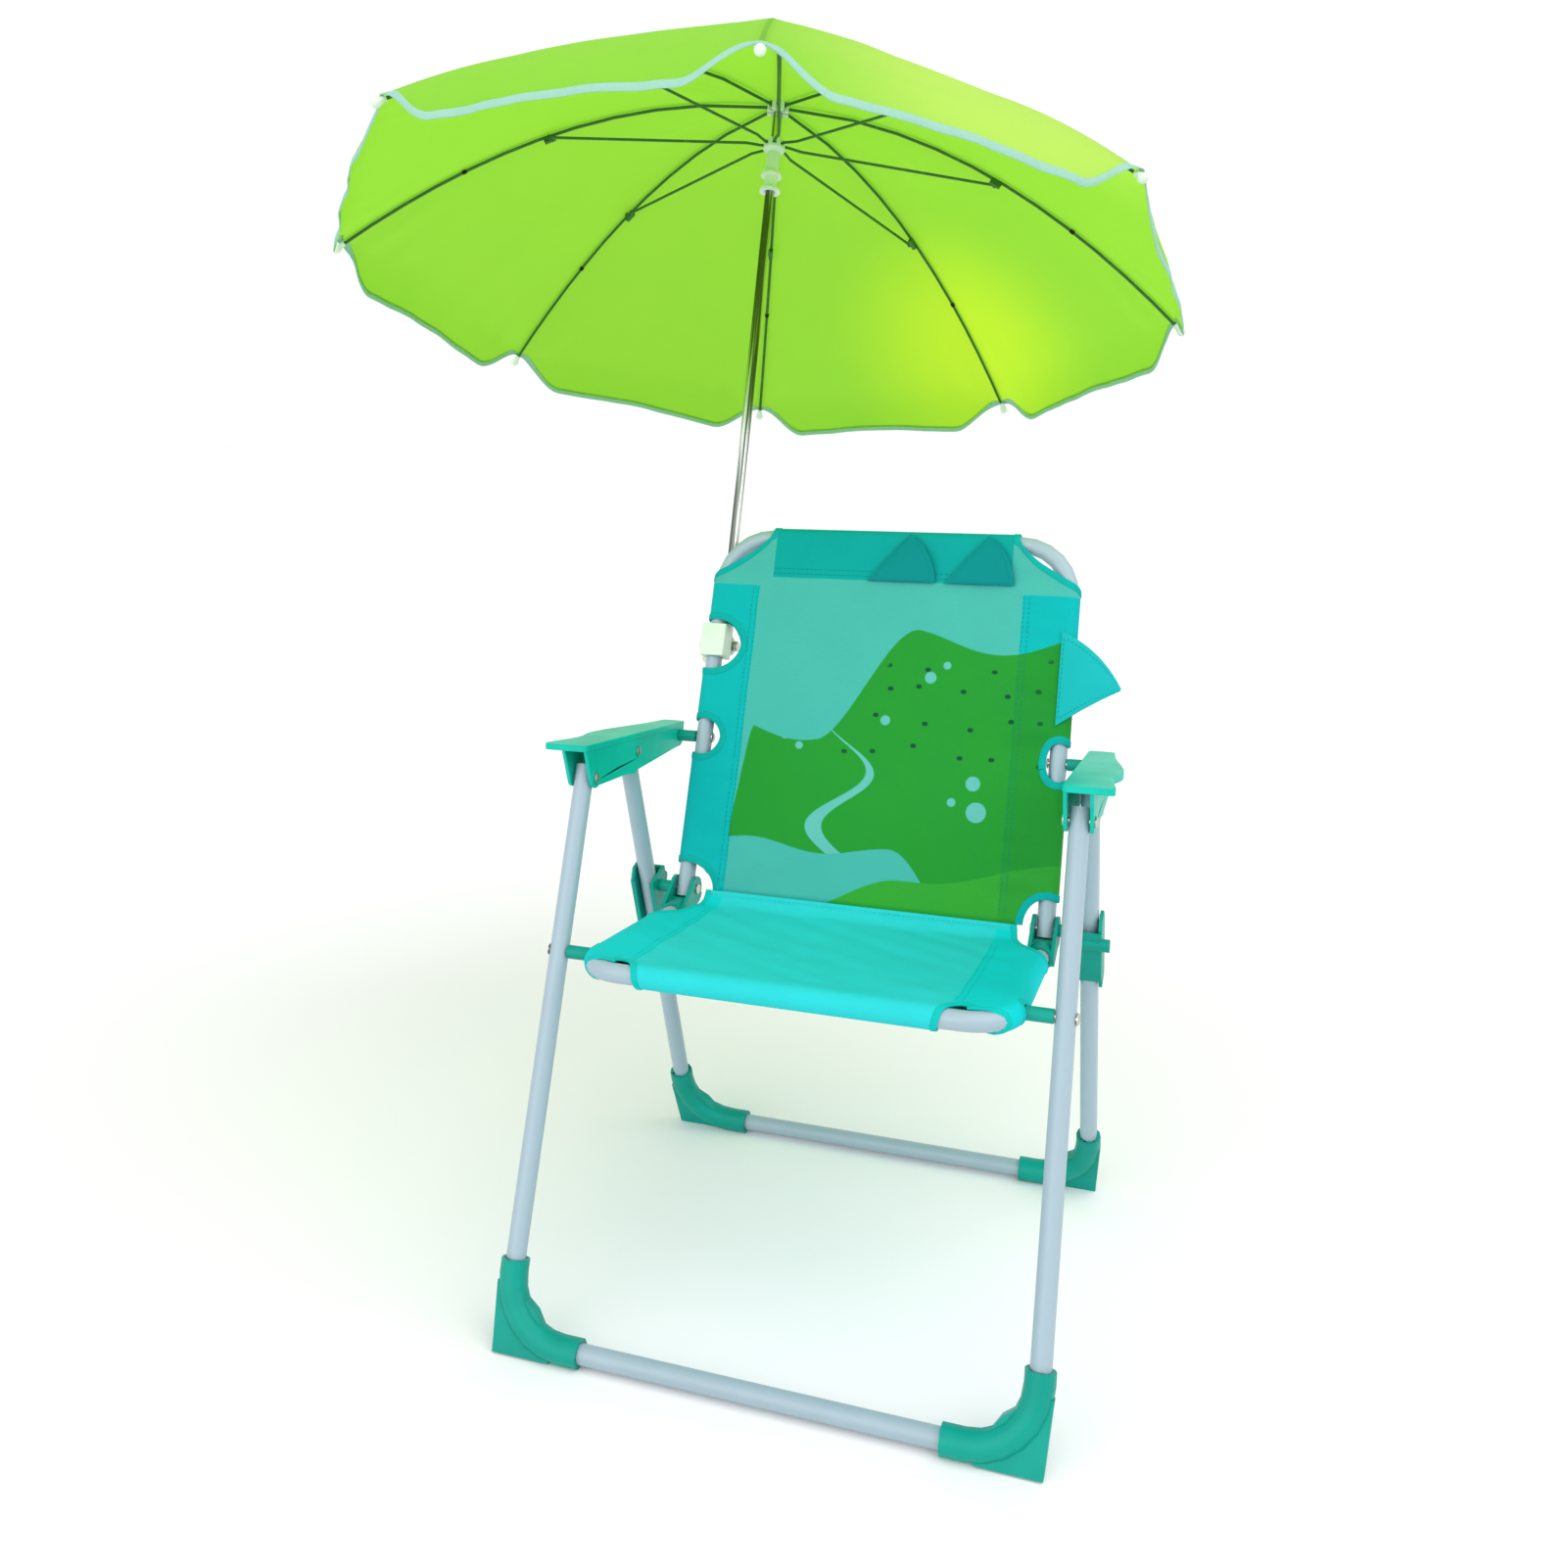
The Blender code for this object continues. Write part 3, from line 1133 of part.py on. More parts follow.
def cover_stations():
    """Radius and height of the cover's underside along a rib, from the cap out to its edge."""
    lift = RIB_RADIUS + COVER_GAP
    line = rib_line()
    along = (line[-1] - line[-2]).normalized()
    line[-1] -= along * COVER_INSET
    stations = [(COVER_CENTRE, COVER_TOP), (NOTCH_RADIUS + COVER_GAP, COVER_TOP)]
    for before, point, after in zip(line, line[1:], line[2:] + [line[-1] + along]):
        slope = (after - before).normalized()
        stations.append((point.x - slope.z * lift, point.z + slope.x * lift))
    return stations


def build_canopy(body):
    """The cover: eight taut gores over the ribs and a curved valance that hangs from the edge."""
    stations = cover_stations()
    rings = []
    for radius, height in stations:
        ring = []
        for number in range(RIB_COUNT):
            here, after = rib_angle(number), rib_angle(number + 1)
            start = Vector((math.cos(here), math.sin(here), 0)) * radius
            end = Vector((math.cos(after), math.sin(after), 0)) * radius
            for split in range(COVER_SPLITS):
                share = split / COVER_SPLITS
                bow = 4 * share * (1 - share) * GORE_HOLLOW * (radius / RIB_SPAN) ** 2
                ring.append(start.lerp(end, share) + Vector((0, 0, height + bow)))
        rings.append(ring)
    edge = rings[-1]
    for depth_share in VALANCE_RING_SHARES:
        ring = []
        for place, point in enumerate(edge):
            hang = VALANCE_DROP * VALANCE_SHARES[place % COVER_SPLITS] * depth_share
            outward = Vector((point.x, point.y, 0)).normalized() * VALANCE_FLARE * depth_share
            ring.append(point + outward - Vector((0, 0, hang)))
        rings.append(ring)
    mesh = bpy.data.meshes.new("canopy")
    shape = bmesh.new()
    loops = [[shape.verts.new(point) for point in ring] for ring in rings]
    for near, far in zip(loops, loops[1:]):
        for i in range(len(near)):
            j = (i + 1) % len(near)
            shape.faces.new((near[i], far[i], far[j], near[j]))
    shape.to_mesh(mesh)
    shape.free()
    canopy = new_object("canopy", mesh, umbrella_axes(POLE_TOP))
    shell = canopy.modifiers.new("cloth_thickness", "SOLIDIFY")
    shell.thickness = COVER
    shell.offset = 1
    shell.use_even_offset = False
    finish_piece(canopy, "lime_fabric", body)


def pin_ends(side, pivot, near, far):
    """The two ends of a pin on one side of the chair, as distances from its middle."""
    return side_point(side, near, pivot), side_point(side, far, pivot)


def build_chair():
    """Builds the chair's moving bodies and returns the back's, which carries the parasol."""
    front = new_body("front_frame", FRONT_BAR)
    seat = new_body("seat", SEAT_FRONT, front)
    back = new_body("back", SEAT_REAR, seat)
    arms = [new_body(f"arm_{hand}", ARM_FRONT, front) for hand in HANDS]
    rear = new_body("rear_frame", LEG_TOP, arms[0])
    slides = [new_body(f"slider_body_{hand}", SEAT_REAR, seat) for hand in HANDS]

    front_pins = both_sides(FRAME_HALF_WIDTH, ARM_FRONT) + both_sides(FRAME_HALF_WIDTH, SEAT_FRONT)
    build_frame_tube("front_frame_tube", front_frame_path(), front, front_pins)
    build_frame_tube("rear_frame_tube", rear_frame_path(), rear, both_sides(FRAME_HALF_WIDTH, LEG_TOP))
    build_frame_tube("seat_frame_tube", seat_frame_path(), seat, both_sides(INNER_HALF_WIDTH, SEAT_FRONT))
    back_pins = both_sides(INNER_HALF_WIDTH, SEAT_REAR) + both_sides(INNER_HALF_WIDTH, ARM_REAR)
    build_frame_tube("back_frame_tube", back_frame_path(), back, back_pins)

    arm_face = TUBE_RADIUS + ARM_SIDE_PLAY + ARM_WALL
    for side, hand, arm, slider in zip((-1, 1), HANDS, arms, slides):
        build_boot(f"front_foot_{hand}", side, FRONT_BAR, UP_FRAME, front_frame_path(), front)
        build_boot(f"rear_foot_{hand}", side, REAR_BAR, -REAR_DOWN, rear_frame_path(), rear)
        build_armrest(side, f"armrest_{hand}", arm)
        build_hinge_fitting(side, f"hinge_fitting_{hand}", seat)
        build_slider(side, f"slider_{hand}", slider)

        inner_tube = INNER_HALF_WIDTH - TUBE_RADIUS
        inner_face = INNER_HALF_WIDTH + TUBE_RADIUS
        outer_face = FRAME_HALF_WIDTH - TUBE_RADIUS
        arm_inner = FRAME_HALF_WIDTH - arm_face
        arm_outer = FRAME_HALF_WIDTH + arm_face
        fork = INNER_HALF_WIDTH - TUBE_RADIUS - FORK_PLAY - FORK_WALL
        pin_end = slider_face() + SLIDER_WALL - FIT_GAP
        leg_outer = outer_face + TUBE_DIAMETER
        spacer(f"seat_spacer_{hand}", *pin_ends(side, SEAT_FRONT, inner_face, outer_face), front)
        spacer(f"arm_spacer_{hand}", *pin_ends(side, ARM_REAR, inner_face, arm_inner), back)
        pins = (
            ("arm_front_rivet", ARM_FRONT, arm_inner, arm_outer, arm),
            ("arm_leg_rivet", LEG_TOP, arm_inner, arm_outer, arm),
            ("arm_rear_rivet", ARM_REAR, inner_tube, arm_outer, back),
            ("seat_rivet", SEAT_FRONT, inner_tube, leg_outer, front),
        )
        for name, pivot, near, far, body in pins:
            pin = rivet(f"{name}_{hand}", *pin_ends(side, pivot, near, far))
            finish_piece(pin, "steel", body)
        ends = pin_ends(side, SEAT_REAR, fork, pin_end)
        finish_piece(rivet(f"hinge_rivet_{hand}", *ends, two_heads=False), "steel", seat)

    build_seat_sling(seat)
    build_back_sling(back)
    build_fins(back)
    return back


def build_parasol(back):
    """Builds the clamp and the parasol, with a body for each rib and each stretcher."""
    mast = new_body("mast", POLE_FOOT, back)
    knob = new_body("knob", POLE_FOOT, back)
    build_clamp(back, knob)
    build_pole(mast)
    build_canopy(mast)
    runner = new_body("runner_body", RUNNER_TOP, mast)
    build_runner(runner)
    rib_shape, stretcher_shape = rib_mesh(), stretcher_mesh()
    for number in range(RIB_COUNT):
        plane = rib_plane(number)
        hinge = plane @ Vector((PIVOT_RADIUS, 0, -NOTCH_DROP))
        rib_body = new_body(f"rib_body_{number + 1}", hinge, mast)
        finish_piece(new_object(f"rib_{number + 1}", rib_shape.copy(), plane), "dark_wire", rib_body)
        arm = new_body(f"stretcher_body_{number + 1}", plane @ stretcher_hinge(), runner)
        obj = new_object(f"stretcher_{number + 1}", stretcher_shape.copy(), plane)
        finish_piece(obj, "dark_wire", arm)


def main():
    start_scene()
    build_parasol(build_chair())


main()
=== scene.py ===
"""The looks of the umbrella chair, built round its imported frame.

The slings, fins and parasol cover are cloth that is cut, wrapped round the tubes, bound and stitched here.
Tubes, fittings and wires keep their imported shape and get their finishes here.
"""

import json
import logging
import math
from collections.abc import Callable, Iterable, Sequence
from dataclasses import dataclass, field
from enum import Enum

import bpy
from mathutils import Matrix, Vector, noise


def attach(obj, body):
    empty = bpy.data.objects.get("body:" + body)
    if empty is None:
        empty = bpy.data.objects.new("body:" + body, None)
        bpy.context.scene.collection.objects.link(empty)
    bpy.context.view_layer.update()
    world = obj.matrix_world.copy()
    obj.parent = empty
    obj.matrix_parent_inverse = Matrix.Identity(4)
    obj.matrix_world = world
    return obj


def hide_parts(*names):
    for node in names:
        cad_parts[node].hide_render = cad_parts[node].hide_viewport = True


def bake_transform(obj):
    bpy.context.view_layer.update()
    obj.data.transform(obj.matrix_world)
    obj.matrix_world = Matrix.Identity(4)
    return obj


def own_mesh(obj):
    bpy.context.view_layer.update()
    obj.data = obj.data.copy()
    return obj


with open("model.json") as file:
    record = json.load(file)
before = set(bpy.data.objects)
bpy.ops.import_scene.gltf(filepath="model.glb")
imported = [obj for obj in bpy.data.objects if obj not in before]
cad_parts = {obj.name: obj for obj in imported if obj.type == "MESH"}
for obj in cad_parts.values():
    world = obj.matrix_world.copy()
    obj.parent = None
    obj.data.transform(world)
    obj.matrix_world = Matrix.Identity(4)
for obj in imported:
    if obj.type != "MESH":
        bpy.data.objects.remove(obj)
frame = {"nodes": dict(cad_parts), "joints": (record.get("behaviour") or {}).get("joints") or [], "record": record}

LOG = logging.getLogger("umbrella_chair")
MM = 0.001
IMAGE_SIDE = 1601
SENSOR = 36.0
SHARP_ANGLE = math.radians(38.0)
WELD = 0.00001
CLOTH_GRID = 4 * MM
TAPE_RUN = 1.5 * MM
PROBE = 1.5 * MM
SQUARE_CORNERS = ((-1, -1), (1, -1), (1, 1), (-1, 1))
FlatPoint = tuple[float, float]
Colour = tuple[float, float, float]
Pattern = tuple[float, float, float]


class Side(Enum):
    """A side of the chair, as the sign of its x direction from the chair's middle."""

    LEFT = -1
    RIGHT = 1


class Coordinate(Enum):
    """What a finish is laid out by: a cloth's own flat cut, or the place in the frame."""

    FLAT_CUT = "UV"
    PLACE = "Object"


def srgb(red: int, green: int, blue: int) -> Colour:
    """Turns a colour as seen on a screen, from 0 to 255, into linear light."""
    shares = (red / 255, green / 255, blue / 255)
    return tuple(c / 12.92 if c <= 0.04045 else ((c + 0.055) / 1.055) ** 2.4 for c in shares)


def ease(value: float, start: float, end: float) -> float:
    """Rises smoothly from 0 at start to 1 at end."""
    share = min(max((value - start) / (end - start), 0.0), 1.0)
    return share * share * (3 - 2 * share)


def along_table(value: float, table: Sequence[FlatPoint]) -> float:
    """Reads a table of points as straight runs.

    Args:
        value: Where to read it.
        table: Pairs of place and height, in order of place.

    Returns:
        The height there, level beyond both ends.
    """
    if value <= table[0][0]:
        return table[0][1]
    for (start, low), (end, high) in zip(table, table[1:]):
        if value <= end:
            return low + (high - low) * (value - start) / (end - start)
    return table[-1][1]


def millimetres(*pairs: FlatPoint) -> tuple[FlatPoint, ...]:
    """Turns pairs of lengths in millimetres into metres."""
    return tuple((first * MM, second * MM) for first, second in pairs)


def spaced(start: float, end: float, step: float) -> list[float]:
    """Even places from start to end, at most a step apart, with the end left out."""
    count = max(1, math.ceil(abs(end - start) / step))
    return [start + (end - start) * i / count for i in range(count)]


def rumple(across: float, along: float, pattern: Pattern) -> float:
    """Smooth noise from about -1 to 1, in a pattern of cells a metre both ways and a seed."""
    return noise.noise(Vector((across * pattern[0], along * pattern[1], pattern[2])))


class Field:
    """A number that varies over a surface, as a socket of a material's nodes."""

    def __init__(self, graph: "Graph", socket: bpy.types.NodeSocket) -> None:
        """Keeps the socket and the graph that it belongs to."""
        self.graph = graph
        self.socket = socket

    def __add__(self, other: "Field | float") -> "Field":
        """Adds."""
        return self.graph.math("ADD", self, other)

    def __sub__(self, other: "Field | float") -> "Field":
        """Subtracts."""
        return self.graph.math("SUBTRACT", self, other)

    def __mul__(self, other: "Field | float") -> "Field":
        """Multiplies."""
        return self.graph.math("MULTIPLY", self, other)

    def wave(self, length: float, shift: float = 0.0) -> "Field":
        """A sine of this field with a wave of that length."""
        return self.graph.math("SINE", self * (math.tau / length) + shift)

    def size(self) -> "Field":
        """The field without its sign."""
        return self.graph.math("ABSOLUTE", self)

    def most(self, other: "Field | float") -> "Field":
        """The larger of two fields."""
        return self.graph.math("MAXIMUM", self, other)

    def over(self, start: float, end: float) -> "Field":
        """Rises smoothly from 0 at start to 1 at end, or falls where end is the smaller.

        Args:
            start: Where it starts.
            end: Where it ends.

        Returns:
            The new field.
        """
        node = self.graph.node("ShaderNodeMapRange", interpolation_type="SMOOTHSTEP")
        low, high = min(start, end), max(start, end)
        first, last = (0.0, 1.0) if start < end else (1.0, 0.0)
        for socket, value in zip(node.inputs, (self, low, high, first, last)):
            self.graph.put(socket, value)
        return Field(self.graph, node.outputs["Result"])


class Graph:
    """The node tree of one material, built up node by node."""

    def __init__(self, name: str) -> None:
        """Makes the material with an empty tree.

        Args:
            name: The material's name.
        """
        self.material = bpy.data.materials.new(name)
        self.material.use_nodes = True
        self.tree = self.material.node_tree
        self.tree.nodes.clear()
        self.output = self.node("ShaderNodeOutputMaterial")

    def node(self, kind: str, **settings: object) -> bpy.types.Node:
        """Adds a node and sets its plain properties.

        Args:
            kind: Blender's name of the node.
            **settings: The properties.

        Returns:
            The node.
        """
        node = self.tree.nodes.new(kind)
        for name, value in settings.items():
            setattr(node, name, value)
        return node

    def put(self, socket: bpy.types.NodeSocket, value: object) -> None:
        """Links a field or socket to an input, or sets a plain value on it.

        Args:
            socket: The input.
            value: What goes into it.
        """
        if isinstance(value, Field):
            self.tree.links.new(value.socket, socket)
        elif isinstance(value, bpy.types.NodeSocket):
            self.tree.links.new(value, socket)
        elif isinstance(value, tuple) and len(value) == 3 and socket.type == "RGBA":
            socket.default_value = (*value, 1.0)
        else:
            socket.default_value = value

    def math(self, operation: str, *values: "Field | float") -> Field:
        """Combines fields and numbers with one Math node.

        Args:
            operation: What the node does.
            *values: The fields or numbers.

        Returns:
            The result.
        """
        node = self.node("ShaderNodeMath", operation=operation)
        for socket, value in zip(node.inputs, values):
            self.put(socket, value)
        return Field(self, node.outputs[0])

    def mix(self, share: "Field | float", first: object, second: object) -> bpy.types.NodeSocket:
        """Mixes two colours by a share of the second.

        Args:
            share: Share of the second colour.
            first: The first colour.
            second: The second colour.

        Returns:
            The mixed colour.
        """
        node = self.node("ShaderNodeMix", data_type="RGBA")
        inputs = [s for s in node.inputs if s.enabled]
        for socket, value in zip(inputs, (share, first, second)):
            self.put(socket, value)
        return next(s for s in node.outputs if s.enabled)

    def place(self, kind: Coordinate) -> bpy.types.NodeSocket:
        """The coordinates that a finish is laid out by."""
        return self.node("ShaderNodeTexCoord").outputs[kind.value]

    def parts(self, vector: bpy.types.NodeSocket) -> tuple[Field, Field, Field]:
        """A vector's three numbers as fields.

        Args:
            vector: The vector.

        Returns:
            The fields of x, y and z.
        """
        node = self.node("ShaderNodeSeparateXYZ")
        self.put(node.inputs[0], vector)
        return tuple(Field(self, s) for s in node.outputs)

    def joined(self, *values: "Field | float") -> bpy.types.NodeSocket:
        """A vector of three fields or numbers.

        Args:
            *values: The fields or numbers.

        Returns:
            The vector.
        """
        node = self.node("ShaderNodeCombineXYZ")
        for socket, value in zip(node.inputs, values):
            self.put(socket, value)
        return node.outputs[0]

    def grain(self, where: bpy.types.NodeSocket, scale: float, detail: float = 2.0) -> Field:
        """Cloudy variation from 0 to 1, with this many cells a metre.

        Args:
            where: The coordinates that it is laid out by.
            scale: Cells a metre.
            detail: How much fine detail it has.

        Returns:
            The variation.
        """
        node = self.node("ShaderNodeTexNoise")
        self.put(node.inputs["Vector"], where)
        self.put(node.inputs["Scale"], scale)
        self.put(node.inputs["Detail"], detail)
        return Field(self, node.outputs[0])

    def spots(self, where: bpy.types.NodeSocket, scale: float, scatter: float) -> Field:
        """Distance from the nearest of many scattered points, in cells.

        Args:
            where: The coordinates that it is laid out by.
            scale: Cells a metre.
            scatter: 0 for a grid, 1 for no order.

        Returns:
            The distance.
        """
        node = self.node("ShaderNodeTexVoronoi", voronoi_dimensions="2D")
        self.put(node.inputs["Vector"], where)
        self.put(node.inputs["Scale"], scale)
        self.put(node.inputs["Randomness"], scatter)
        return Field(self, node.outputs["Distance"])

    def bump(self, height: Field, depth: float) -> bpy.types.NodeSocket:
        """A normal that follows a height from 0 to 1, where 1 stands this deep.

        Args:
            height: The height.
            depth: Depth in metres.

        Returns:
            The normal.
        """
        node = self.node("ShaderNodeBump")
        self.put(node.inputs["Strength"], 1.0)
        self.put(node.inputs["Distance"], depth)
        self.put(node.inputs["Height"], height)
        return node.outputs[0]

    def shader(self, **sockets: object) -> bpy.types.NodeSocket:
        """Adds a Principled shader. An underscore in a socket's name stands for a space.

        Args:
            **sockets: The value or field of each input that isn't left at its default.

        Returns:
            The shader's output.
        """
        node = self.node("ShaderNodeBsdfPrincipled")
        for name, value in sockets.items():
            self.put(node.inputs[name.replace("_", " ")], value)
        return node.outputs[0]

    def finish(self, shader: bpy.types.NodeSocket) -> bpy.types.Material:
        """Ends the tree in this shader and returns its material."""
        self.tree.links.new(shader, self.output.inputs["Surface"])
        return self.material


@dataclass(frozen=True)
class PowderCoat:
    """Satin white powder coat with a faint orange peel and dust near the floor."""

    colour: Colour = srgb(156, 178, 190)
    dusty: Colour = srgb(142, 160, 168)
    roughness: float = 0.25
    gloss_spread: float = 0.10
    cloud_cells: float = 35.0
    cloud_share: float = 0.12
    peel_cells: float = 900.0
    peel_depth: float = 0.03 * MM
    dust_height: float = 0.05
    dust_share: float = 0.6

    def make(self) -> bpy.types.Material:
        """Builds the material.

        Returns:
            The material.
        """
        graph = Graph("white_powder_coat")
        where = graph.place(Coordinate.PLACE)
        height = graph.parts(where)[2]
        cloud = graph.grain(where, self.cloud_cells, 4.0)
        dust = height.over(self.dust_height, 0.0) * cloud
        dirt = dust * self.dust_share + cloud * self.cloud_share
        peel = graph.grain(where, self.peel_cells)
        return graph.finish(
            graph.shader(
                Base_Color=graph.mix(dirt, self.colour, self.dusty),
                Roughness=cloud * self.gloss_spread + self.roughness,
                Normal=graph.bump(peel, self.peel_depth),
            )
        )


@dataclass(frozen=True)
class PolishedTube:
    """Bright plated steel with faint drawing marks along the pole, and dark streaks along it that are painted
    reflections.
    """

    colour: Colour = srgb(206, 212, 204)
    painted_reflection_colour: Colour = srgb(92, 98, 92)
    painted_reflection_range: FlatPoint = (0.40, 0.58)
    roughness: float = 0.14
    gloss_spread: float = 0.12
    marks: float = 1500.0
    mark_stretch: float = 0.03
    mark_depth: float = 0.01 * MM
    painted_reflection_cells: float = 380.0
    painted_reflection_stretch: float = 0.02
    lean: float = math.radians(16.5)

    def make(self) -> bpy.types.Material:
        """Builds the material.

        Returns:
            The material.
        """
        graph = Graph("bright_pole")
        where = graph.place(Coordinate.PLACE)
        across, deep, up = graph.parts(where)
        beside = deep * math.cos(self.lean) - up * math.sin(self.lean)
        along = deep * math.sin(self.lean) + up * math.cos(self.lean)
        drawn = graph.grain(graph.joined(across, beside, along * self.mark_stretch), self.marks)
        # Painted reflection: dark streaks mixed into the base colour along the pole, in place of the dark
        # surroundings that chrome reflects.
        painted_reflection = graph.grain(graph.joined(across, beside, along * self.painted_reflection_stretch), self.painted_reflection_cells, 1.0)
        return graph.finish(
            graph.shader(
                Base_Color=graph.mix(painted_reflection.over(*self.painted_reflection_range), self.colour, self.painted_reflection_colour),
                Metallic=1.0,
                Roughness=drawn * self.gloss_spread + self.roughness,
                Normal=graph.bump(drawn, self.mark_depth),
            )
        )


@dataclass(frozen=True)
class MouldedPlastic:
    """Injection-moulded plastic with a fine spark grain and soft flow marks."""

    name: str
    colour: Colour
    shade: Colour
    roughness: float = 0.34
    glow: float = 0.0
    glow_depth: float = 3 * MM
    gloss_spread: float = 0.12
    shine: float = 0.20
    flow_cells: float = 22.0
    flow_range: FlatPoint = (0.35, 0.75)
    spark_cells: float = 2600.0
    spark_depth: float = 0.02 * MM

    def make(self) -> bpy.types.Material:
        """Builds the material.

        Returns:
            The material.
        """
        graph = Graph(self.name)
        where = graph.place(Coordinate.PLACE)
        flow = graph.grain(where, self.flow_cells, 3.0)
        spark = graph.grain(where, self.spark_cells)
        return graph.finish(
            graph.shader(
                Base_Color=graph.mix(flow.over(*self.flow_range), self.colour, self.shade),
                Roughness=flow * self.gloss_spread + self.roughness,
                Specular_IOR_Level=self.shine,
                Subsurface_Weight=self.glow,
                Subsurface_Scale=self.glow_depth,
                Normal=graph.bump(spark, self.spark_depth),
            )
        )


@dataclass(frozen=True)
class BareMetal:
    """Metal of the rivets, bolt and wires, with tiny scratches."""

    name: str
    colour: Colour
    wear_and_sunlit_patch: Colour
    metallic: float
    roughness: float
    gloss_spread: float = 0.2
    scratch_cells: float = 1800.0
    scratch_stretch: float = 0.2
    scratch_depth: float = 0.015 * MM
    wear_cells: float = 120.0
    wear_range: FlatPoint = (0.55, 0.75)

    def make(self) -> bpy.types.Material:
        """Builds the material.

        Returns:
            The material.
        """
        graph = Graph(self.name)
        where = graph.place(Coordinate.PLACE)
        across, deep, up = graph.parts(where)
        stretched = graph.joined(across, deep * self.scratch_stretch, up)
        scratch = graph.grain(stretched, self.scratch_cells, 3.0)
        wear = graph.grain(where, self.wear_cells, 3.0).over(*self.wear_range)
        return graph.finish(
            graph.shader(
                Base_Color=graph.mix(wear, self.colour, self.wear_and_sunlit_patch),
                Metallic=self.metallic,
                Roughness=scratch * self.gloss_spread + self.roughness,
                Normal=graph.bump(scratch, self.scratch_depth),
            )
        )


@dataclass(frozen=True)
class Weave:
    """A plain weave, laid out by the flat cut of a cloth."""

    thread: float = 0.55 * MM
    depth: float = 0.10 * MM

    def height(self, graph: Graph, across: Field, along: Field) -> Field:
        """Height of the crossing threads, from 0 to 1.

        Args:
            graph: The material's nodes; not used.
            across: A flat coordinate of the cloth.
            along: The other one, for a weave.

        Returns:
            The height.
        """
        warp = across.wave(self.thread * 2)
        weft = along.wave(self.thread * 2, math.pi / 2)
        return (warp * weft) * 0.5 + 0.5


@dataclass(frozen=True)
class SlingCloth:
    """Teal polyester weave, in one colour where it lies single and another where it lies double in a sleeve; the
    difference between the two is painted light and shade, standing in for light that falls through the cloth.
    """

    name: str = "teal_sling_cloth"
    single: Colour = srgb(46, 212, 216)
    double: Colour = srgb(4, 212, 216)
    shade: Colour = (0.0, 0.12, 0.11)
    sleeve_line: float = 105 * MM
    sleeve_blur: float = 0.6 * MM
    roughness: float = 0.70
    gloss_spread: float = 0.10
    shine: float = 0.12
    cloud_cells: float = 28.0
    cloud_share: float = 0.12
    thread_share: float = 0.10
    slub_cells: float = 900.0
    slub_stretch: float = 0.15
    slub_depth: float = 0.3
    weave: Weave = field(default_factory=Weave)

    def colour(self, graph: Graph, across: Field, along: Field) -> bpy.types.NodeSocket:
        """The cloth's colour over its flat cut."""
        sleeve = across.size().over(self.sleeve_line - self.sleeve_blur, self.sleeve_line + self.sleeve_blur)
        # Painted light and shade: the single and double colours differ as painted light and shade, not by the
        # cloth's dye.
        return graph.mix(sleeve, self.single, self.double)

    def make(self) -> bpy.types.Material:
        """Builds the material.

        Returns:
            The material.
        """
        graph = Graph(self.name)
        where = graph.place(Coordinate.FLAT_CUT)
        across, along, _ = graph.parts(where)
        cloud = graph.grain(where, self.cloud_cells, 4.0)
        threads = self.weave.height(graph, across, along)
        slub = graph.grain(graph.joined(across * self.slub_stretch, along, 0.0), self.slub_cells)
        shaded = threads * self.thread_share + slub * self.thread_share + cloud * self.cloud_share
        height = threads * (1 - self.slub_depth) + slub * self.slub_depth
        return graph.finish(
            graph.shader(
                Base_Color=graph.mix(shaded, self.colour(graph, across, along), self.shade),
                Roughness=threads * self.gloss_spread + self.roughness,
                Specular_IOR_Level=self.shine,
                Normal=graph.bump(height, self.weave.depth),
            )
        )


@dataclass(frozen=True)
class PrintLine:
    """A line that runs across a print: smooth steps, one gentle wave and a base height."""

    base: float
    steps: tuple[tuple[float, float, float], ...]
    wave: tuple[float, float, float] = (1.0, 0.0, 0.0)

    def height(self, across: Field) -> Field:
        """Height of the line over the seam, at each place across.

        Args:
            across: A flat coordinate of the cloth.

        Returns:
            The height.
        """
        length, shift, swing = self.wave
        line = across.wave(length, shift) * swing
        for start, end, rise in self.steps:
            line = line + across.over(start, end) * rise
        return line + self.base


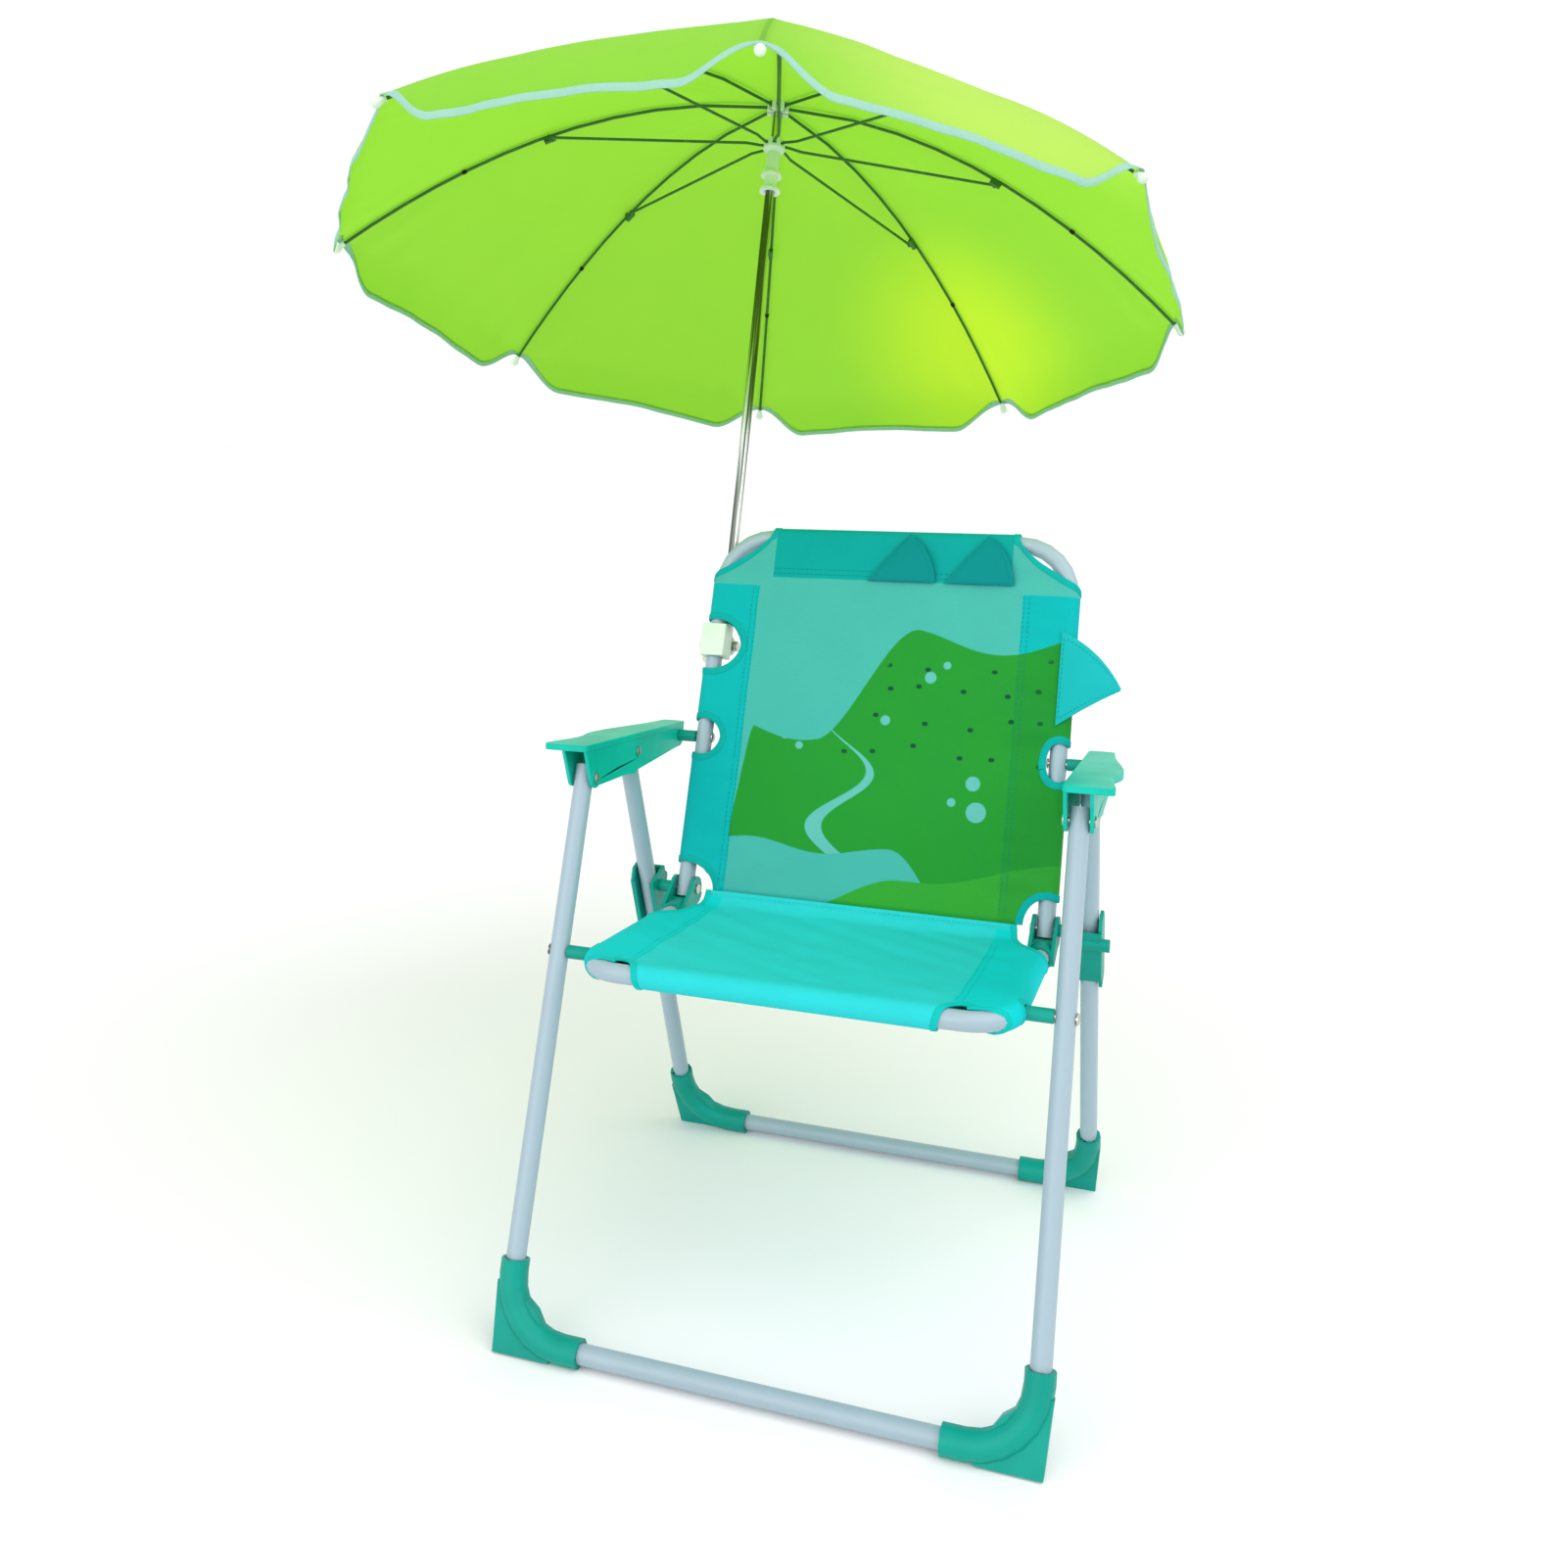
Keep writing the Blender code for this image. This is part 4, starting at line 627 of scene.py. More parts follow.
@dataclass(frozen=True)
class PrintedSlingCloth(SlingCloth):
    """The back's cloth: rolling hills, a stream and scattered dots printed on aqua."""

    name: str = "printed_back_cloth"
    single: Colour = srgb(76, 184, 174)
    double: Colour = srgb(0, 182, 184)
    top_sleeve_painted_shade: Colour = srgb(0, 164, 162)
    hill: Colour = srgb(38, 150, 30)
    near_hill: Colour = srgb(56, 166, 36)
    water: Colour = srgb(104, 192, 184)
    seed: Colour = srgb(18, 70, 36)
    sleeve_painted_shade: Colour = (0.005, 0.20, 0.01)
    sleeve_painted_shade_share: float = 0.22
    top_sleeve: float = 250 * MM
    top_sleeve_half: float = 95 * MM
    side_sleeve_end: float = 243 * MM
    edge: float = 0.35 * MM
    far_hills: PrintLine = PrintLine(
        -0.045, ((-0.045, 0.030, 0.075), (-0.117, -0.096, 0.175)), (0.150, 0.9, 0.009)
    )
    shore: PrintLine = PrintLine(-0.020, ((0.092, 0.020, 0.060),), (0.11, 0.3, 0.004))
    near_hills: PrintLine = PrintLine(-0.010, ((-0.055, 0.030, 0.032), (0.05, 0.15, 0.022)))
    river_middle: float = -0.020
    river_wave: tuple[float, float, float] = (0.085, 0.5, 0.020)
    river_width: PrintLine = PrintLine(-0.0006, ((0.160, 0.040, 0.0075),))
    seed_cells: float = 34.0
    seed_scatter: float = 0.55
    seed_squash: float = 1.3
    seed_rim: FlatPoint = (0.085, 0.070)
    seed_top: FlatPoint = (0.008, 0.014)
    seed_foot: FlatPoint = (0.108, 0.116)
    blossoms: tuple[tuple[float, float, float], ...] = (
        (0.079, 0.098, 0.0055),
        (0.064, 0.083, 0.0032),
        (0.083, 0.077, 0.0075),
        (0.040, 0.176, 0.0045),
        (0.052, 0.186, 0.0030),
        (-0.070, 0.126, 0.0048),
        (-0.058, 0.117, 0.0030),
        (0.008, 0.141, 0.0038),
    )

    def dots(self, across: Field, along: Field) -> Field:
        """Round blossoms of the print, as a mask.

        Args:
            across: Flat length from the chair's middle.
            along: Flat length up from the seam.

        Returns:
            The mask.
        """
        mask = None
        for place, height, radius in self.blossoms:
            away = across.graph.math(
                "SQRT", (across - place) * (across - place) + (along - height) * (along - height)
            )
            dot = away.over(radius + self.edge, radius - self.edge)
            mask = dot if mask is None else mask.most(dot)
        return mask

    def inside(self, depth: Field) -> Field:
        """A mask that is 1 where a depth is above 0, with the print's soft edge."""
        return depth.over(-self.edge, self.edge)

    def sleeves(self, across: Field, along: Field) -> tuple[Field, Field]:
        """Where the cloth lies double.

        Args:
            across: Flat length from the chair's middle.
            along: Flat length up from the seam.

        Returns:
            Masks of all the sleeves and of the top one.
        """
        edge = self.edge
        side = across.size().over(self.sleeve_line - 2 * edge, self.sleeve_line + 2 * edge)
        side = side * along.over(self.side_sleeve_end + edge, self.side_sleeve_end - edge)
        top = along.over(self.top_sleeve - 2 * edge, self.top_sleeve + 2 * edge)
        top = top * across.size().over(self.top_sleeve_half + edge, self.top_sleeve_half - edge)
        return side.most(top), top

    def colour(self, graph: Graph, across: Field, along: Field) -> bpy.types.NodeSocket:
        """The cloth's colour over its flat cut.

        Args:
            graph: The material's nodes.
            across: Flat length from the chair's middle.
            along: Flat length up from the seam.

        Returns:
            The colour.
        """
        sleeve, top = self.sleeves(across, along)
        # Painted light and shade: the single ground is lighter than the doubled sleeves, and the top sleeve is
        # darker again as painted shade.
        ground = graph.mix(sleeve, self.single, graph.mix(top, self.double, self.top_sleeve_painted_shade))
        far_top = self.far_hills.height(across)
        far = self.inside(far_top - along) * self.inside(along - self.shore.height(across))
        near = self.inside(self.near_hills.height(across) - along)
        length, shift, swing = self.river_wave
        middle = (across - self.river_middle - along.wave(length, shift) * swing).size()
        river = self.inside(self.river_width.height(along) - middle)
        scattered = graph.joined(across, along * self.seed_squash, 0.0)
        seeds = graph.spots(scattered, self.seed_cells, self.seed_scatter).over(*self.seed_rim)
        seeds = seeds * (far_top - along).over(*self.seed_top) * along.over(*self.seed_foot)
        shown = graph.mix(far, ground, graph.mix(seeds, self.hill, self.seed))
        shown = graph.mix(river * far, shown, self.water)
        shown = graph.mix(near, shown, self.near_hill)
        shown = graph.mix(self.dots(across, along) * far, shown, self.water)
        # Painted shade: the printed hills are darkened and greened where they lie on a doubled sleeve.
        return graph.mix(sleeve * far * self.sleeve_painted_shade_share, shown, self.sleeve_painted_shade)


@dataclass(frozen=True)
class TrimCloth:
    """Narrow woven tape or thread, ribbed across its length."""

    name: str
    colour: Colour
    shade: Colour
    ribs: float = 1.1 * MM
    rib_depth: float = 0.06 * MM
    rib_share: float = 0.35
    cloud_cells: float = 150.0
    cloud_share: float = 0.25
    roughness: float = 0.70
    gloss_spread: float = 0.1
    shine: float = 0.12

    def make(self) -> bpy.types.Material:
        """Builds the material.

        Returns:
            The material.
        """
        graph = Graph(self.name)
        where = graph.place(Coordinate.FLAT_CUT)
        _, along, _ = graph.parts(where)
        rib = along.wave(self.ribs) * 0.5 + 0.5
        cloud = graph.grain(where, self.cloud_cells, 3.0)
        shaded = rib * self.rib_share + cloud * self.cloud_share
        return graph.finish(
            graph.shader(
                Base_Color=graph.mix(shaded, self.colour, self.shade),
                Roughness=cloud * self.gloss_spread + self.roughness,
                Specular_IOR_Level=self.shine,
                Normal=graph.bump(rib, self.rib_depth),
            )
        )


@dataclass(frozen=True)
class CoverCloth:
    """Thin lime parasol cloth that glows where light falls through it, with a painted patch of sunlight in that
    glow and a painted sunlit spot on its outer face.
    """

    front: Colour = srgb(158, 218, 84)
    front_shade: Colour = srgb(140, 212, 40)
    through: Colour = srgb(146, 214, 40)
    through_shade: Colour = srgb(130, 204, 40)
    sunlit_patch: Colour = srgb(220, 252, 0)
    sunlit_patch_place: tuple[float, float, float] = (0.135, 0.312, 0.682)
    sunlit_patch_range: FlatPoint = (0.17, 0.02)
    sunlit_patch_share: float = 0.8
    sunlit_spot: Colour = srgb(232, 252, 130)
    sunlit_spot_place: tuple[float, float, float] = (0.24, -0.15, 0.80)
    sunlit_spot_range: FlatPoint = (0.20, 0.04)
    sunlit_spot_share: float = 0.75
    seam: Colour = srgb(110, 190, 50)
    seam_range: FlatPoint = (2.2 * MM, 1.4 * MM)
    seam_front: float = 0.5
    seam_through: float = 0.6
    cloud_cells: float = 14.0
    cloud_front: float = 0.15
    cloud_through: float = 0.4
    thread_share: float = 0.10
    roughness: float = 0.75
    shine: float = 0.15
    glow: float = 0.50
    weave: Weave = field(default_factory=lambda: Weave(0.45 * MM, 0.03 * MM))

    def near(self, graph: Graph, spot: tuple[float, float, float]) -> Field:
        """Distance from a place in the frame.

        Args:
            graph: The material's nodes.
            spot: The place.

        Returns:
            The distance.
        """
        there = graph.node("ShaderNodeVectorMath", operation="DISTANCE")
        graph.put(there.inputs[0], graph.place(Coordinate.PLACE))
        graph.put(there.inputs[1], spot)
        return Field(graph, there.outputs["Value"])

    def make(self) -> bpy.types.Material:
        """Builds the material.

        Returns:
            The material.
        """
        graph = Graph("lime_cover_cloth")
        where = graph.place(Coordinate.FLAT_CUT)
        across, along, _ = graph.parts(where)
        cloud = graph.grain(where, self.cloud_cells, 3.0)
        threads = self.weave.height(graph, across, along)
        seam = across.size().over(*self.seam_range)
        shaded = threads * self.thread_share + cloud * self.cloud_front
        front = graph.mix(shaded, self.front, self.front_shade)
        front = graph.mix(seam * self.seam_front, front, self.seam)
        # Painted light: a pale sunlit spot on the right outer gore, mixed into the cloth's colour.
        sunlit_spot = self.near(graph, self.sunlit_spot_place).over(*self.sunlit_spot_range)
        front = graph.mix(sunlit_spot * self.sunlit_spot_share, front, self.sunlit_spot)
        # Painted light: a bright yellow patch of sunlight in the colour of the light that passes through the
        # cloth.
        wear_and_sunlit_patch = self.near(graph, self.sunlit_patch_place).over(*self.sunlit_patch_range)
        through = graph.mix(cloud * self.cloud_through, self.through, self.through_shade)
        through = graph.mix(wear_and_sunlit_patch * self.sunlit_patch_share, through, self.sunlit_patch)
        through = graph.mix(seam * self.seam_through, through, self.seam)
        cloth = graph.shader(
            Base_Color=front,
            Roughness=self.roughness,
            Specular_IOR_Level=self.shine,
            Normal=graph.bump(threads, self.weave.depth),
        )
        glow = graph.node("ShaderNodeBsdfTranslucent")
        graph.put(glow.inputs["Color"], through)
        both = graph.node("ShaderNodeMixShader")
        for socket, value in zip(both.inputs, (self.glow, cloth, glow.outputs[0])):
            graph.put(socket, value)
        return graph.finish(both.outputs[0])


@dataclass
class FinishRack:
    """Every finish of the chair, made once and shared."""

    made: dict[str, bpy.types.Material] = field(default_factory=dict)

    def __post_init__(self) -> None:
        """Makes each material under the name that the rest asks for."""
        # Painted light and shade: the armrests get a lighter copy of the teal moulding as painted light, and the
        # teal moulding on the other parts is kept darker, partly as painted shade.
        teal = MouldedPlastic("teal_moulding", srgb(0, 152, 136), srgb(0, 136, 122))
        arm = MouldedPlastic("teal_arm_moulding_painted_light", srgb(0, 190, 168), srgb(0, 172, 152))
        pale = MouldedPlastic("pale_moulding", srgb(222, 236, 220), srgb(204, 224, 206), 0.29, 0.25)
        wire = BareMetal("dark_spring_wire", srgb(40, 98, 40), srgb(58, 120, 48), 0.2, 0.32)
        pin = BareMetal("plain_steel_pin", srgb(196, 194, 186), srgb(160, 154, 142), 1.0, 0.22)
        self.made = {
            "white_tube": PowderCoat().make(),
            "pole_metal": PolishedTube().make(),
            "teal_plastic": teal.make(),
            "arm_plastic_painted_light": arm.make(),
            "pale_plastic": pale.make(),
            "steel_pin": pin.make(),
            "dark_wire": wire.make(),
            "teal_fabric": SlingCloth().make(),
            "printed_fabric": PrintedSlingCloth().make(),
            "reverse_fabric": PrintedSlingCloth(
                "printed_cloth_reverse",
                hill=srgb(70, 168, 112),
                near_hill=srgb(78, 174, 112),
                water=srgb(92, 188, 178),
                seed=srgb(56, 134, 100),
            ).make(),
            # Painted light and shade: the top fins take the darker single colour as painted shade, and the side
            # fin, past the sleeve line, the lighter double colour.
            "fin_fabric": SlingCloth("teal_fin_cloth_painted_shade", srgb(0, 140, 142), srgb(24, 184, 188)).make(),
            "lime_fabric": CoverCloth().make(),
            "sling_tape": TrimCloth("teal_binding", srgb(0, 172, 166), srgb(0, 146, 144)).make(),
            "sling_thread": TrimCloth("teal_thread", srgb(0, 150, 146), srgb(0, 128, 126)).make(),
            "seat_tape": TrimCloth("seat_binding", srgb(6, 192, 186), srgb(0, 168, 164)).make(),
            "seat_thread": TrimCloth("seat_thread", srgb(10, 186, 180), srgb(0, 164, 160)).make(),
            "cover_tape": TrimCloth("pale_binding", srgb(164, 208, 190), srgb(118, 174, 156)).make(),
            "tie_thread": TrimCloth("black_thread", srgb(26, 34, 26), srgb(50, 60, 44)).make(),
        }

    def dress(self, piece: bpy.types.Object, finish: str) -> None:
        """Puts one finish on a piece, in place of any other."""
        piece.data.materials.clear()
        piece.data.materials.append(self.made[finish])


@dataclass(frozen=True)
class ChairPlan:
    """Lines and pivots of the chair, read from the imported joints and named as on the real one."""

    seat_front: Vector
    seat_rear: Vector
    up_frame: Vector
    half_width: float
    pole_up: Vector
    rib_pivots: tuple[Vector, ...]
    rib_ways: tuple[Vector, ...]

    @classmethod
    def read(cls) -> "ChairPlan":
        """Reads the plan from the frame's joints.

        Returns:
            The plan.
        """
        joints = {joint["name"]: joint for joint in frame["joints"]}
        place = {name: Vector(j["pos_m"]) for name, j in joints.items() if j.get("pos_m")}
        arm = place["left_arm_fold"]
        seat_front = place["seat_fold"]
        rise = Vector((0, arm.y - seat_front.y, arm.z - seat_front.z)).normalized()
        pole_up = -Vector(joints["runner_slide"]["axis"]).normalized()
        pivots, ways = [], []
        for number in range(1, 9):
            name = f"rib_{number}_fold"
            pivots.append(place[name])
            ways.append(Vector(joints[name]["axis"]).cross(pole_up).normalized())
        half = seat_front.x - place["parasol_tilt"].x
        return cls(seat_front, place["back_fold"], rise, half, pole_up, tuple(pivots), tuple(ways))

    @property
    def middle(self) -> float:
        """x of the chair's middle."""
        return self.seat_front.x


@dataclass(frozen=True)
class Sleeve:
    """How a sling's edge wraps round a tube and returns to be sewn behind the panel."""

    radius: float = 7.45 * MM
    width: float = 34 * MM
    tuck: float = 1.1 * MM
    bend_step: float = 1.7 * MM
    tail_step: float = 5 * MM

    @property
    def wrap(self) -> float:
        """Angle that the cloth turns round the tube.

        Returns:
            The angle in radians.
        """
        flat = self.radius - self.tuck
        reach = math.hypot(self.width, flat)
        apex = math.atan2(flat, -self.width) - math.tau
        return math.pi / 2 - apex - math.acos(self.radius / reach)

    @property
    def tail(self) -> float:
        """Length of the straight stretch behind the tube, up to the hem."""
        flat = self.radius - self.tuck
        return math.sqrt(self.width**2 + flat**2 - self.radius**2)

    @property
    def length(self) -> float:
        """Length of cloth from the front of the tube to the hem."""
        return self.radius * self.wrap + self.tail

    def at(self, run: float, lift: float) -> FlatPoint:
        """Where the cloth is, from the tube's axis.

        Args:
            run: Length of cloth past the front of the tube.
            lift: Height above the middle of the cloth.

        Returns:
            The distance outward and the distance forward.
        """
        turn = min(run / self.radius, self.wrap)
        rest = max(run - self.radius * self.wrap, 0.0)
        out = (self.radius + lift) * math.sin(turn) + rest * math.cos(turn)
        fore = (self.radius + lift) * math.cos(turn) - rest * math.sin(turn)
        return out, fore

    def places(self) -> list[float]:
        """Lengths past the front of the tube at which a cloth gets its points.

        Returns:
            The lengths.
        """
        bend = self.radius * self.wrap
        around = spaced(0, bend, self.bend_step)
        return [*around, *spaced(bend, self.length, self.tail_step), self.length]


@dataclass
class SlingShape:
    """The surface that the seat's and the back's cloth lie on.

    Its flat coordinates are the length across, from the chair's middle, and the length up
    from the seam between the two cloths, which is negative on the seat.
    """

    plan: ChairPlan
    sleeve: Sleeve = field(default_factory=Sleeve)
    seat_drop: float = 14 * MM
    seat_nose: float = 31 * MM
    seat_bend: float = 28 * MM
    back_length: float = 285 * MM
    back_bend: float = 40 * MM
    seam_bend: float = 12 * MM

    def __post_init__(self) -> None:
        """Works out the lines in the chair's side view."""
        plan, radius = self.plan, self.sleeve.radius
        self.up = plan.up_frame
        self.fore = Vector((0, -self.up.z, self.up.y))
        pitch = plan.seat_rear.y - plan.seat_front.y
        self.rear = Vector((0, pitch, -self.seat_drop)).normalized()
        self.over = Vector((0, -self.rear.z, self.rear.y))
        self.nose = plan.seat_front - self.rear * self.seat_nose
        self.bar = plan.seat_rear + self.up * self.back_length
        gap = (plan.seat_rear + self.fore * radius) - (plan.seat_front + self.over * radius)
        corner_up = -gap.dot(self.over) / self.up.dot(self.over)
        corner_along = (gap + self.up * corner_up).dot(self.rear)
        turn = self.rear.angle(self.up)
        inset = self.seam_bend * math.tan(turn / 2)
        self.seam_rise = corner_up + inset
        self.seam_turn = turn
        self.seat_end = corner_along - inset
        self.seam_centre = plan.seat_front + self.rear * self.seat_end + self.over * (
            radius + self.seam_bend
        )

    @property
    def back_run(self) -> float:
        """Flat length from the seam to the front of the top bar."""
        return self.back_length - self.seam_rise

    @property
    def bend_run(self) -> float:
        """Flat length of the soft bend below the seam."""
        return self.seam_bend * self.seam_turn

    @property
    def seat_run(self) -> float:
        """Flat length from the seam to the top of the front bar."""
        return self.bend_run + self.seat_end + self.seat_nose

    def up_of(self, rise: float) -> float:
        """Flat coordinate of a height up the back frame, from its lower pivot."""
        return rise - self.seam_rise

    def along_of(self, run: float) -> float:
        """Flat coordinate of a place along the seat, measured back from its front pivot."""
        return run - self.seat_end - self.bend_run

    def spine(self, along: float, lift: float) -> Vector:
        """A point of the surface on the chair's middle line.

        Args:
            along: Flat length up from the seam.
            lift: Height over the cloth's middle.

        Returns:
            The point.
        """
        sleeve, radius = self.sleeve, self.sleeve.radius + lift
        if along > self.back_run:
            out, fore = sleeve.at(along - self.back_run, lift)
            return self.bar + self.up * out + self.fore * fore
        if along >= 0:
            return self.plan.seat_rear + self.up * (self.seam_rise + along) + self.fore * radius
        if along > -self.bend_run:
            turn = (along + self.bend_run) / self.seam_bend
            way = self.rear * math.sin(turn) - self.over * math.cos(turn)
            return self.seam_centre + way * (self.seam_bend - lift)
        if along >= -self.seat_run:
            place = along + self.bend_run + self.seat_end
            return self.plan.seat_front + self.rear * place + self.over * radius
        out, fore = sleeve.at(-self.seat_run - along, lift)
        return self.nose - self.rear * out + self.over * fore

    def faced(self, across: float, along: float) -> tuple[float, float, int]:
        """Finds the place on the cloth's front face that a point lies on or behind.

        Args:
            across: Flat length from the chair's middle.
            along: Flat length up from the seam.

        Returns:
            That place's flat coordinates, and 1 on the front face or -1 on a sleeve's return.
        """
        sleeve, half = self.sleeve, self.plan.half_width
        bend, face = sleeve.radius * sleeve.wrap, 1
        if abs(across) > half + bend:
            out, _ = sleeve.at(abs(across) - half, 0.0)
            across, face = math.copysign(half + out, across), -1
        if along > self.back_run + bend:
            out, _ = sleeve.at(along - self.back_run, 0.0)
            along, face = self.back_run + out, -1
        elif along < -self.seat_run - bend:
            out, _ = sleeve.at(-self.seat_run - along, 0.0)
            along, face = -self.seat_run - out, -1
        return across, along, face

    def bend_shift(self, along: float) -> FlatPoint:
        """How far a side tube has bent inward here, and the radius of that bend.

        Args:
            along: Flat length up from the seam.

        Returns:
            The shift and the radius.
        """
        if along >= 0:
            past, bend = along + self.seam_rise - (self.back_length - self.back_bend), self.back_bend
        else:
            start = self.seat_bend - self.seat_nose
            past, bend = start - (along + self.bend_run + self.seat_end), self.seat_bend
        past = min(max(past, 0.0), bend * 0.97)
        return bend - math.sqrt(bend * bend - past * past), bend

    def across_of(self, across: float, along: float, lift: float = 0.0) -> FlatPoint:
        """Distance from the chair's middle and height over the side tube's axis.

        Args:
            across: Flat length from the chair's middle.
            along: Flat length up from the seam.
            lift: Height over the cloth's middle.

        Returns:
            The distance and the height.
        """
        length, radius = abs(across), self.sleeve.radius
        shift, bend = self.bend_shift(along)
        half = self.plan.half_width
        inner = half - bend
        if length <= inner:
            return length, radius + lift
        if length <= half:
            return inner + (length - inner) * (bend - shift) / bend, radius + lift
        out, fore = self.sleeve.at(length - half, lift)
        return half - shift + out, fore

    def columns(self) -> list[float]:
        """Places across a sling at which its cloth gets points.

        Returns:
            The places, in order.
        """
        half = self.plan.half_width
        outer = [half + run for run in self.sleeve.places()]
        return [-x for x in reversed(outer)] + spaced(-half, half, CLOTH_GRID)[1:] + outer

    def place(self, across: float, along: float, lift: float) -> Vector:
        """The point at these flat coordinates, with a height over the cloth's middle.

        Args:
            across: Flat length from the chair's middle.
            along: Flat length up from the seam.
            lift: Height over the cloth's middle.

        Returns:
            The point.
        """
        distance, height = self.across_of(across, along, lift)
        base = self.spine(along, 0.0)
        normal = (self.spine(along, MM) - base).normalized()
        base += normal * (height - self.sleeve.radius)
        return base + Vector((math.copysign(distance, across), 0, 0))


@dataclass
class CutSheet:
    """A cloth that is cut from a flat grid and laid on a surface."""

    across: Sequence[float]
    along: Sequence[float]
    keep: Callable[[float, float], float]
    place: Callable[[float, float, float], Vector]
    relief: Callable[[float, float], float] = lambda across, along: 0.0
    halvings: int = 14
    flat: list[FlatPoint] = field(default_factory=list)
    cut: list[bool] = field(default_factory=list)
    faces: list[tuple[int, ...]] = field(default_factory=list)

    def __post_init__(self) -> None:
        """Cuts every cell of the grid along the line where keep is zero."""
        ids: dict[tuple[int, int], int] = {}
        crossings: dict[tuple[int, int], int] = {}
        values: list[float] = []

        def corner(i: int, j: int) -> int:
            """Index of a grid point, added on first use.

            Args:
                i: Its column.
                j: Its row.

            Returns:
                The index.
            """
            if (i, j) not in ids:
                ids[i, j] = len(self.flat)
                self.flat.append((self.across[i], self.along[j]))
                self.cut.append(False)
                values.append(self.keep(self.across[i], self.along[j]))
            return ids[i, j]

        def crossing(inside: int, outside: int) -> int:
            """Index of the point where an edge of the grid leaves the cloth.

            Args:
                inside: The edge's point inside the cloth.
                outside: The one outside.

            Returns:
                The index.
            """
            key = (min(inside, outside), max(inside, outside))
            if key not in crossings:
                start, end = Vector(self.flat[inside]), Vector(self.flat[outside])
                for _ in range(self.halvings):
                    half = (start + end) / 2
                    if self.keep(*half) >= 0:
                        start = half
                    else:
                        end = half
                crossings[key] = len(self.flat)
                self.flat.append(tuple(start))
                self.cut.append(True)
                values.append(0.0)
            return crossings[key]

        for i in range(len(self.across) - 1):
            for j in range(len(self.along) - 1):
                ring = [corner(i, j), corner(i + 1, j), corner(i + 1, j + 1), corner(i, j + 1)]
                face = []
                for here, after in zip(ring, ring[1:] + ring[:1]):
                    if values[here] >= 0:
                        face.append(here)
                    if (values[here] >= 0) != (values[after] >= 0):
                        pair = (here, after) if values[here] >= 0 else (after, here)
                        face.append(crossing(*pair))
                if len(face) >= 3:
                    self.faces.append(tuple(face))

    def area(self) -> float:
        """The flat area of the cut cloth, in square metres.

        Returns:
            The area.
        """
        total = 0.0
        for face in self.faces:
            points = [self.flat[i] for i in face]
            for (x0, y0), (x1, y1) in zip(points, points[1:] + points[:1]):
                total += (x0 * y1 - x1 * y0) / 2
        return abs(total)

    def lift(self, across: float, along: float, height: float) -> Vector:
        """A point over the laid cloth, with the cloth's own relief."""
        return self.place(across, along, height + self.relief(across, along))

    def edges(self) -> list[list[FlatPoint]]:
        """The cut lines of the cloth, each as a chain of flat points.

        Returns:
            The chains.
        """
        uses: dict[tuple[int, int], int] = {}
        for face in self.faces:
            for here, after in zip(face, face[1:] + face[:1]):
                key = (min(here, after), max(here, after))
                uses[key] = uses.get(key, 0) + 1
        links: dict[int, list[int]] = {}
        for (here, after), count in uses.items():
            if count == 1 and self.cut[here] and self.cut[after]:
                links.setdefault(here, []).append(after)
                links.setdefault(after, []).append(here)
        chains = []
        while links:
            start = next((p for p, near in links.items() if len(near) == 1), next(iter(links)))
            chain = [start]
            while links.get(chain[-1]):
                here = chain[-1]
                after = links[here].pop()
                links[after].remove(here)
                chain.append(after)
                if not links[here]:
                    del links[here]
            links = {p: near for p, near in links.items() if near}
            chains.append([self.flat[i] for i in chain])
        return chains

    def build(self, name: str, thickness: float) -> bpy.types.Object:
        """Makes the cloth's mesh, with its flat coordinates as its UV map.

        Args:
            name: The piece's name.
            thickness: How thick the cloth is, or 0 for a single face.

        Returns:
            The new object.
        """
        used = sorted({i for face in self.faces for i in face})
        order = {old: new for new, old in enumerate(used)}
        points = [self.lift(*self.flat[i], 0.0) for i in used]
        faces = [tuple(order[i] for i in face) for face in self.faces]
        obj = mesh_object(name, points, faces, [self.flat[i] for i in used])
        if thickness:
            shell = obj.modifiers.new("cloth_thickness", "SOLIDIFY")
            shell.thickness = thickness
            shell.offset = 0.0
        return obj


def mesh_object(
    name: str,
    points: Sequence[Vector],
    faces: Sequence[tuple[int, ...]],
    flat: Sequence[FlatPoint] | None = None,
) -> bpy.types.Object:
    """Makes a smooth-shaded mesh object.

    Args:
        name: The object's name.
        points: Its vertices in the frame, in metres.
        faces: Its faces, as indices of vertices.
        flat: Flat coordinates of each vertex for its UV map, in metres.

    Returns:
        The new object, linked to the scene.
    """
    mesh = bpy.data.meshes.new(name)
    mesh.from_pydata([tuple(p) for p in points], [], faces)
    if flat is not None:
        layer = mesh.uv_layers.new(name="flat_cut")
        for loop in mesh.loops:
            layer.data[loop.index].uv = flat[loop.vertex_index]
    mesh.shade_smooth()
    mesh.set_sharp_from_angle(angle=SHARP_ANGLE)
    obj = bpy.data.objects.new(name, mesh)
    bpy.context.scene.collection.objects.link(obj)
    return obj


def evened(chain: Sequence[FlatPoint], step: float) -> list[Vector]:
    """Points a step apart along a chain of flat points.

    Args:
        chain: The flat points.
        step: Their distance, about.

    Returns:
        The points, from end to end.
    """
    points = [Vector(p) for p in chain]
    lengths = [0.0]
    for before, after in zip(points, points[1:]):
        lengths.append(lengths[-1] + (after - before).length)
    count = max(2, round(lengths[-1] / step))
    result, place = [], 0
    for i in range(count + 1):
        target = lengths[-1] * i / count
        while place < len(points) - 2 and lengths[place + 1] < target:
            place += 1
        span = lengths[place + 1] - lengths[place]
        share = (target - lengths[place]) / span if span else 0.0
        result.append(points[place].lerp(points[place + 1], share))
    return result


